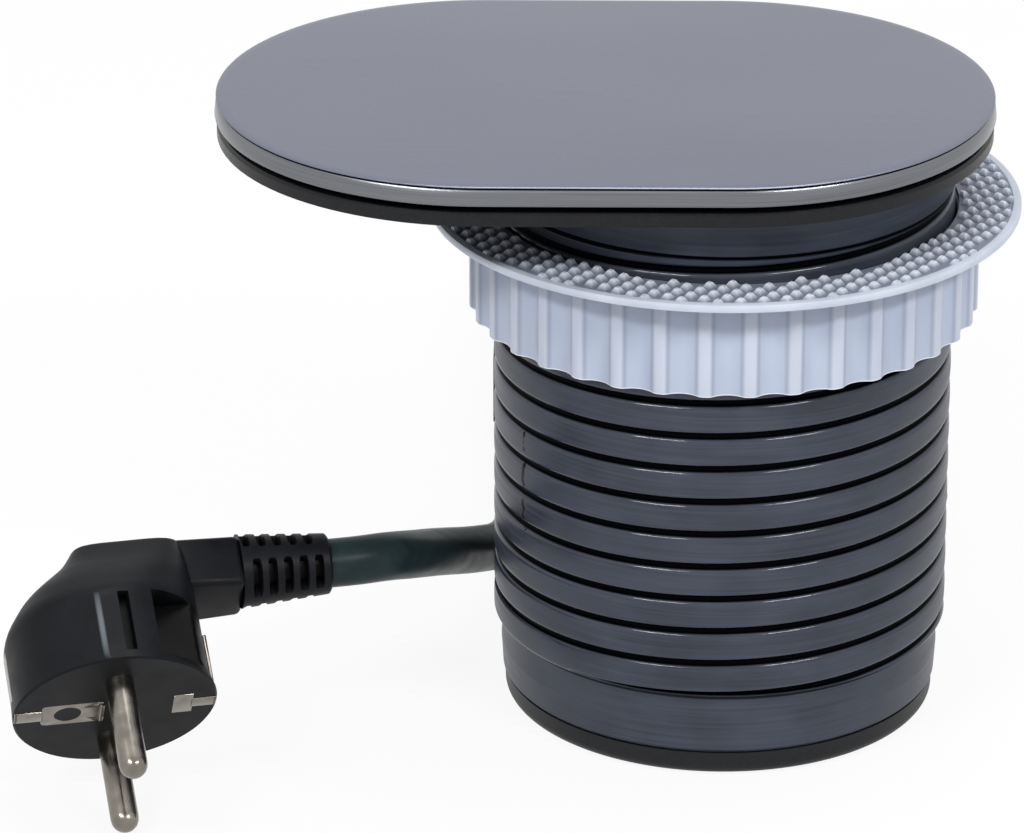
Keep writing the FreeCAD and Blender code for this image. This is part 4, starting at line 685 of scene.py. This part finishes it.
# Lid: a thin steel plate with a soft edge, a black strip in its seam as the seam's painted shade,
# and a flared band below it
lidSet = {
    "radius": 45.8, "span": 41.0, "top": 111.4, "bandTop": 110.68, "low": 107.85, "flare": 0.25,
    "bandWidth": 1.5, "seamDepth": 0.9, "seamWidth": 1.0, "seamLow": 0.1, "seamHigh": 0.34,
    # each step out and down, from the top's edge to the plate's foot and under it
    "edge": [(0.6, -0.03), (0.5, -0.05), (0.35, -0.06), (0.2, -0.07), (0.08, -0.09)],
    "under": [(-0.08, -0.05), (-1.4, -0.01)],
    # each step out and up from the band's foot, and up to the band's top and over it
    "bandFoot": [(0.18, 0.07), (0.07, 0.25)],
    "bandHead": [(-0.27, -0.25), (-0.2, 0.0), (-1.2, 0.0)],
}


def lidPlate():
    s = lidSet
    bm = bmesh.new()
    inset = sum(out for out, drop in s["edge"])
    loop = edgeLoop(bm, ovalPlaces(s["radius"] - inset, s["top"], s["span"]))
    bmesh.ops.edgeloop_fill(bm, edges=loop)
    height = s["top"]
    for out, drop in s["edge"] + s["under"]:
        height += drop
        loop = stepLoop(bm, loop, height, out=out, span=s["span"])
    bmesh.ops.edgeloop_fill(bm, edges=loop)
    return finishPiece("lidPlate", bm, lidSteel, "lid", ("lid_top_plate",), 60.0)


def lidSeamShade():
    # painted shade: a black strip between plate and band, where the seam lies in shade
    s = lidSet
    bm = bmesh.new()
    inner = s["radius"] - s["seamDepth"] - s["seamWidth"]
    low, high = s["bandTop"] - s["seamLow"], s["top"] - s["seamHigh"]
    loop = first = edgeLoop(bm, ovalPlaces(inner, low, s["span"]))
    for out, height in ((s["seamWidth"], low), (0.0, high), (-s["seamWidth"], high)):
        loop = stepLoop(bm, loop, height, out=out, span=s["span"])
    bmesh.ops.bridge_loops(bm, edges=first + loop)
    return finishPiece("lidSeamShade", bm, satinAbs, "lid")


def lidBand():
    s = lidSet
    bm = bmesh.new()
    foot = sum(out for out, rise in s["bandFoot"])
    loop = first = edgeLoop(bm, ovalPlaces(s["radius"] - s["bandWidth"], s["low"], s["span"]))
    steps = [(s["bandWidth"] + s["flare"] - foot, s["low"])]
    steps += [(out, s["low"] + rise) for out, rise in s["bandFoot"]]
    steps += [(out, s["bandTop"] + rise) for out, rise in s["bandHead"]]
    for out, height in steps:
        loop = stepLoop(bm, loop, height, out=out, span=s["span"])
    bmesh.ops.bridge_loops(bm, edges=first + loop)
    return finishPiece("lidBand", bm, rimSteel, "lid", ("lid_rim_band",), 50.0)


lidPlate()
lidSeamShade()
lidBand()
print("barrel, nut, ring and lid made")

# Shutter's spring: a coil of wire, drawn at one length; the real one shortens as the shutter opens
springSet = {"wire": 0.35, "turns": 8, "stepsPerTurn": 24, "travel": 5.5}


def shutterSpring():
    s = springSet
    low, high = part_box("shutter_spring")
    length = high[0] - low[0]
    middle = ((low[1] + high[1]) / 2, (low[2] + high[2]) / 2)
    wire = s["wire"] * mm / 2
    radius = (high[2] - low[2]) / 2 - wire
    bm = bmesh.new()
    start = Matrix.Translation((low[0] + wire, middle[0], middle[1] + radius))
    verts = bmesh.ops.create_circle(bm, segments=8, radius=wire, matrix=(
        start @ Matrix.Rotation(math.pi / 2, 4, "X")))["verts"]
    steps = s["turns"] * s["stepsPerTurn"]
    edges = list({edge for vert in verts for edge in vert.link_edges})
    bmesh.ops.spin(bm, geom=verts + edges, cent=(0, *middle), axis=(1, 0, 0),
                   dvec=((length - 2 * wire) / steps, 0, 0), angle=2 * math.pi * s["turns"],
                   steps=steps)
    bmesh.ops.holes_fill(bm, edges=[edge for edge in bm.edges if edge.is_boundary], sides=8)
    piece = finishPiece("shutterSpring", bm, zincPlate, "housing",
                        ("shutter_spring",), 60.0)
    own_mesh(piece)


shutterSpring()

# Plug: its own axes are x along the lead and z away from the wall socket
plugSet = {
    "place": (-102.5, -53.8, 19.9), "yaw": 13.2, "pitch": 54.5,
    # height, reach to the left, to the right and up, and how square the outline is
    "form": [(0.0, 17.4, 17.4, 17.4, 2.0), (1.4, 17.4, 17.4, 17.4, 2.0),
             (2.4, 17.2, 16.5, 17.0, 2.1), (14.0, 17.1, 16.4, 16.9, 2.2),
             (18.6, 13.9, 16.2, 14.3, 2.6), (24.1, 6.7, 15.6, 10.6, 3.6),
             (28.0, 3.9, 14.8, 8.3, 5.0), (29.0, 3.6, 14.4, 7.9, 6.0)],
    "eased": (-1.2, -0.6, 0.0, 0.6, 1.2),
    "columns": [-3.1, -2.75, -2.5, -2.25, -1.9, -0.8, 0.3, 0.95, 1.2, 1.9, 2.6, 2.85, 4.2, 5.6,
                6.85, 7.15, 8.2, 9.6, 11.0, 12.4],
    "endSteps": 18,
    # heights of the rings: those by the face, then close ones where the hollow ends
    "faceLevels": [0.0, 0.1, 0.35, 1.35, 1.55, 1.8, 2.0], "wallLevels": (2.6, 0.6, 18),
    "hollowLevels": [13.1, 13.3, 13.65, 13.85], "topLevels": (14.2, 0.55, 25),
    "crown": [(0.25, 0.12), (0.45, 0.4), (0.55, 1.0)],  # rise and inset
    # a side hollow: where it starts, its low and high end, and the half width left there
    "hollow": (7.0, 1.45, 13.75, 9.5),
    # a groove: its two sides, its low and high end, and the half width left there
    "groove": (1.1, 2.7, 1.9, 13.2, 14.6),
    # a ridge with a painted highlight along it: its place, its low and high end, how far it stands
    # out, half its width
    "ridge": (-2.5, 0.8, 13.4, 0.16, 0.4),
    "faceRound": 0.35,
    # below the neck the body has painted shade: from where on, below which height, over how
    # many mm it grows, and its most
    "neckShade": (16.0, 19.5, 2.0, 0.8),
}
plugFrame = (Matrix.Translation([c * mm for c in plugSet["place"]])
             @ Matrix.Rotation(math.radians(plugSet["yaw"]), 4, "Z")
             @ Matrix.Rotation(-math.radians(plugSet["pitch"]), 4, "X"))


def plugForm(z):
    # the form's measures at a height, their corners eased over a few mm
    total = [0.0] * 4
    top = plugSet["form"][-1][0] - 0.01
    for near in plugSet["eased"]:
        at = min(max(z + near, 0.0), top)
        for low, high in zip(plugSet["form"], plugSet["form"][1:]):
            if low[0] <= at < high[0]:
                share = (at - low[0]) / (high[0] - low[0])
                total = [t + (a + (b - a) * share) / len(plugSet["eased"])
                         for t, a, b in zip(total, low[1:], high[1:])]
    return total


def plugRing(z, inset):
    left, right, half, power = plugForm(z)
    middle, reach = (right - left) / 2, (right + left) / 2
    columns, ends = plugSet["columns"], plugSet["endSteps"]
    turns = [math.sin(math.pi / 2 * step / ends) for step in range(ends, 0, -1)]
    places = [columns[0] - (left + columns[0]) * t for t in turns] + list(columns)
    places += [columns[-1] + (right - columns[-1]) * t for t in reversed(turns)]
    row = []
    for x in places:
        across = min(abs(x - middle) / reach, 1.0)
        y = half * (1 - across ** power) ** (1 / power)
        start, low, high, floor = plugSet["hollow"]
        if x > start and low < z < high:
            y = min(y, floor)
        first, last, low, high, floor = plugSet["groove"]
        if first < x < last and low < z < high:
            y = min(y, floor)
        place, low, high, rise, wide = plugSet["ridge"]
        if low < z < high and abs(x - place) < wide:
            y += rise * (1 - (abs(x - place) / wide) ** 2)
        shrink = 1 - inset / math.hypot(x, y)
        row.append((x * shrink, y * shrink, z))
    back = [(x, y, h) for x, y, h in row[-2:0:-1]]
    return [(x, -y, h) for x, y, h in row] + back


def markShade(bm, shadeAt):
    # the shade attribute: painted shade, and painted highlight as negative values
    layer = bm.verts.layers.float.new("shade")
    for vert in bm.verts:
        vert[layer] = shadeAt(*[c / mm for c in vert.co])


def bodyShade(x, y, z):
    # painted shade: 1 in the hollow and the groove, less below the neck; -1, a painted highlight,
    # on the ridge
    start, low, high, floor = plugSet["hollow"]
    if x > start + 0.1 and low + 0.05 < z < high - 0.05 and abs(y) <= floor + 0.02:
        return 1.0
    first, last, low, high, floor = plugSet["groove"]
    if first < x < last and low < z < high and abs(y) <= floor + 0.02:
        return 1.0
    start, top, over, most = plugSet["neckShade"]
    if x > start and z < top:
        return min((top - z) / over, most)
    place, low, high, rise, wide = plugSet["ridge"]
    if abs(x - place) < wide - 0.1 and low < z < high and y < 0:
        return -math.sin(math.pi * (z - low) / (high - low)) ** 0.5
    return 0.0


def plugBody():
    bm = bmesh.new()
    heights = list(plugSet["faceLevels"])
    for levels, close in (("wallLevels", "hollowLevels"), ("topLevels", None)):
        first, step, count = plugSet[levels]
        heights += [first + step * i for i in range(count)] + plugSet.get(close, [])
    rings = [plugRing(z, max(0.0, plugSet["faceRound"] - z)) for z in heights]
    rings += [plugRing(heights[-1] + rise, inset) for rise, inset in plugSet["crown"]]
    loftRings(bm, rings)
    return bm


# the bar between the plug and its relief, wider at the plug
neckSet = {
    "start": 12.0, "end": 25.0, "low": 18.9, "soft": 1.1,
    "halfWidth": (7.1, 5.7), "high": (28.1, 28.5),  # at the plug, at the relief
}


def plugNeck(bm):
    n = neckSet
    softBlock(bm, lambda far, side, up: (
        n["end"] if far else n["start"], side * n["halfWidth"][far],
        n["high"][far] if up else n["low"]), n["soft"], 3)


def plugShell():
    bm = plugBody()
    plugNeck(bm)
    markShade(bm, bodyShade)
    bm.transform(plugFrame)
    return finishPiece("plugShell", bm, plugPvc, "housing", ("plug_body",), 40.0)


# Bend relief: a tapered sleeve with four rows of slots, neighbouring rows staggered
reliefSet = {
    "start": 24.9, "end": 40.5, "height": 24.4, "root": 6.4, "tip": 5.2, "axisSteps": 130,
    "turnSteps": 160, "slots": 5, "firstSlot": 27.3, "pitch": 2.72, "slotWidth": 1.5,
    "slotReach": 33.0, "slotSlope": 2.5, "depth": 2.1, "lip": 0.5,
    "shadeStart": 0.5, "shadeOver": 0.8,
}


def reliefRadius(x):
    share = (x - reliefSet["start"]) / (reliefSet["end"] - reliefSet["start"])
    return reliefSet["root"] + (reliefSet["tip"] - reliefSet["root"]) * share


def slotDepth(x, angle):
    # how deep the surface is sunk at a place along the sleeve and an angle round it
    r = reliefSet
    row = round((angle - 45) / 90)
    off = abs(angle - 45 - 90 * row)
    slot = (x - r["firstSlot"] + (row % 2) * r["pitch"] / 2) / r["pitch"]
    if not 0 <= round(slot) < r["slots"]:
        return 0.0
    near = abs(slot - round(slot)) * r["pitch"]
    inside = 1 - (near / (r["slotWidth"] / 2)) ** 4 - (off / r["slotReach"]) ** 6
    return r["depth"] * min(max(inside * r["slotSlope"], 0), 1)


# painted shade, deeper in the slots
def slotShade(x, y, z):
    deep = reliefRadius(x) - math.hypot(y, z - reliefSet["height"])
    return min(max((deep - reliefSet["shadeStart"]) / reliefSet["shadeOver"], 0.0), 1.0)


def plugRelief():
    r = reliefSet
    rings = []
    for step in range(r["axisSteps"] + 1):
        x = r["start"] + (r["end"] - r["start"]) * step / r["axisSteps"]
        plain = reliefRadius(x) - r["lip"] * max(0.0, 1 - (r["end"] - x) / r["lip"]) ** 2
        ring = []
        for turn in range(r["turnSteps"]):
            angle = 360.0 * turn / r["turnSteps"]
            radius = plain - slotDepth(x, angle)
            angle = math.radians(angle)
            ring.append((x, radius * math.cos(angle), r["height"] + radius * math.sin(angle)))
        rings.append(ring)
    bm = bmesh.new()
    loftRings(bm, rings)
    markShade(bm, slotShade)
    bm.transform(plugFrame)
    return finishPiece("plugReliefSleeve", bm, plugPvc, "housing", ("plug_relief",), 40.0)


# Plug's metal: two pins, their tips as radius and distance from the end, and the earth clips
pinSet = {"radius": 2.4, "length": 18.2, "root": 0.5, "spacing": 19.0, "steps": 48,
          "tip": [(0.0, 0.0), (0.75, 0.1), (1.4, 0.45), (1.95, 1.0), (2.28, 1.7), (2.4, 2.5)]}


def plugPins():
    p = pinSet
    bm = bmesh.new()
    points = [(radius, short - p["length"]) for radius, short in p["tip"]]
    points += [(p["radius"], p["root"]), (0.0, p["root"])]
    for side in (-1, 1):
        middle = p["spacing"] / 2 * side
        verts = [bm.verts.new((r * mm, middle * mm, z * mm)) for r, z in points]
        edges = [bm.edges.new(pair) for pair in zip(verts, verts[1:])]
        bmesh.ops.spin(bm, geom=verts + edges, cent=(0, middle * mm, 0), axis=(0, 0, 1),
                       dvec=(0, 0, 0), angle=2 * math.pi, steps=p["steps"], use_merge=True)
    bm.transform(plugFrame)
    return finishPiece("plugPinPair", bm, nickelPlate, "housing", ("plug_pins",),
                       50.0)


clipSet = {
    "width": 3.2, "shortWidth": 2.72, "metal": 0.6, "outside": 17.2, "side": 12.0,
    "padWidth": 6.4, "longPad": (-12.6, -2.0), "hole": 2.25, "holePlace": -8.1,
    "shortPadWidth": 5.888, "shortPad": (9.8, 13.2), "lap": 0.4,
    "tabWidth": 5.248, "tabLength": 0.75, "tabRise": 0.45, "tabBack": 0.4,
    "face": -0.1, "back": 0.5, "soft": 0.12, "squareness": 14, "steps": 48,
}


def squarePlaces(x1, x2, half, z):
    # an almost square outline, drawn by direction so that a round hole can join it
    middle, reach = (x1 + x2) / 2, (x2 - x1) / 2
    power = clipSet["squareness"]
    places = []
    for step in range(clipSet["steps"]):
        turn = 2 * math.pi * step / clipSet["steps"]
        c, s = math.cos(turn), math.sin(turn)
        size = (abs(c) ** power + abs(s) ** power) ** (-1 / power)
        places.append((middle + reach * c * size, half * s * size, z))
    return places


def holePlaces(radius, z):
    turns = [2 * math.pi * step / clipSet["steps"] for step in range(clipSet["steps"])]
    return [(clipSet["holePlace"] + radius * math.cos(turn), radius * math.sin(turn), z)
            for turn in turns]


def clipBar(bm, x1, x2, width, z1, z2):
    softBlock(bm, lambda far, side, up: (x2 if far else x1, side * width / 2, z2 if up else z1),
              clipSet["soft"], 2)


def plugClips():
    c = clipSet
    bm = bmesh.new()
    first, last = c["longPad"]
    half, soft, face, back = c["padWidth"] / 2, c["soft"], c["face"], c["back"]
    outer = [squarePlaces(first + i, last - i, half - i, z)
             for i, z in ((0, back), (0, face + soft), (soft, face))]
    hole = [holePlaces(radius, z) for radius, z in (
        (c["hole"] + soft, face), (c["hole"], face + soft), (c["hole"], back))]
    loftRings(bm, outer + hole, closed=True)
    outside, inside = c["outside"], c["outside"] - c["metal"]
    clipBar(bm, last - c["tabLength"], last, c["tabWidth"], face - c["tabRise"], c["tabBack"])
    clipBar(bm, -outside, first + c["lap"], c["width"], face, back)
    clipBar(bm, -outside, -inside, c["width"], face, c["side"])
    first, last = c["shortPad"]
    clipBar(bm, first, last, c["shortPadWidth"], face, back)
    clipBar(bm, last - c["lap"], outside, c["shortWidth"], face, back)
    clipBar(bm, inside, outside, c["shortWidth"], face, c["side"])
    bm.transform(plugFrame)
    return finishPiece("plugClipPair", bm, nickelPlate, "housing",
                       ("plug_earth_clips",), 40.0)


plugPieces = [plugShell(), plugRelief(), plugPins(), plugClips()]
print("plug made")

# Light and floor
lightSet = {
    "worldGrey": 0.5, "floorGrey": 0.86, "whiteShare": 0.9, "floorSize": 6.0, "floorDrop": 0.2,
    "aim": (-0.02, 0.0, 0.05),
    "lamps": [  # name, place in m, width and height in m, watts
        ("leftSoftbox", (-0.5, -0.68, 0.72), (0.42, 0.09), 4.5),
        ("rightSoftbox", (0.5, -0.68, 0.72), (0.42, 0.09), 4.6),
        ("topSoftbox", (0.1, 0.15, 1.1), (0.6, 0.6), 4.6),
    ],
}


def seenOrMirrored(tree):
    # 1 for what the camera, a reflection or a see-through piece looks at
    path = addNode(tree, "ShaderNodeLightPath")
    seen = path.outputs["Is Camera Ray"]
    for ray in ("Is Glossy Ray", "Is Transmission Ray"):
        seen = addNode(tree, "ShaderNodeMath", {0: seen, 1: path.outputs[ray]},
                       operation="MAXIMUM").outputs[0]
    return seen


def makeWorld():
    world = bpy.data.worlds.new("studio")
    world.use_nodes = True
    tree = world.node_tree
    strength = addNode(tree, "ShaderNodeMapRange", {
        "Value": seenOrMirrored(tree), "To Min": lightSet["worldGrey"], "To Max": 1.0,
    })
    background = tree.nodes["Background"]
    background.inputs["Color"].default_value = (1, 1, 1, 1)
    tree.links.new(strength.outputs["Result"], background.inputs["Strength"])
    bpy.context.scene.world = world


def makeFloor():
    # Pale paper sweep: matt, and almost white wherever it is seen straight
    bm = bmesh.new()
    bmesh.ops.create_grid(bm, x_segments=1, y_segments=1, size=lightSet["floorSize"])
    mesh = bpy.data.meshes.new("floor")
    bm.to_mesh(mesh)
    bm.free()
    grey = lightSet["floorGrey"]
    material, tree, shader, where = newMaterial("paperSweep", Roughness=0.9,
                                                Base_Color=(grey, grey, grey, 1))
    white = addNode(tree, "ShaderNodeEmission", {"Color": (1, 1, 1, 1), "Strength": 1.0})
    share = addNode(tree, "ShaderNodeMath", {0: seenOrMirrored(tree), 1: lightSet["whiteShare"]},
                    operation="MULTIPLY")
    mixed = addNode(tree, "ShaderNodeMixShader", {
        "Fac": share.outputs[0], 1: shader.outputs["BSDF"], 2: white.outputs[0],
    })
    tree.links.new(mixed.outputs[0], tree.nodes["Material Output"].inputs["Surface"])
    mesh.materials.append(material)
    floor = bpy.data.objects.new("floor", mesh)
    floor.location.z = -lightSet["floorDrop"] * mm
    bpy.context.scene.collection.objects.link(floor)


def makeLamps():
    aim = Vector(lightSet["aim"])
    for name, place, size, watts in lightSet["lamps"]:
        lamp = bpy.data.lights.new(name, "AREA")
        lamp.shape, lamp.energy = "RECTANGLE", watts
        lamp.size, lamp.size_y = size
        holder = bpy.data.objects.new(name, lamp)
        holder.location = place
        holder.rotation_euler = (aim - Vector(place)).to_track_quat("-Z", "Y").to_euler()
        bpy.context.scene.collection.objects.link(holder)


makeWorld()
makeFloor()
makeLamps()
bpy.context.scene.view_settings.view_transform = "Standard"
print("light and floor set")
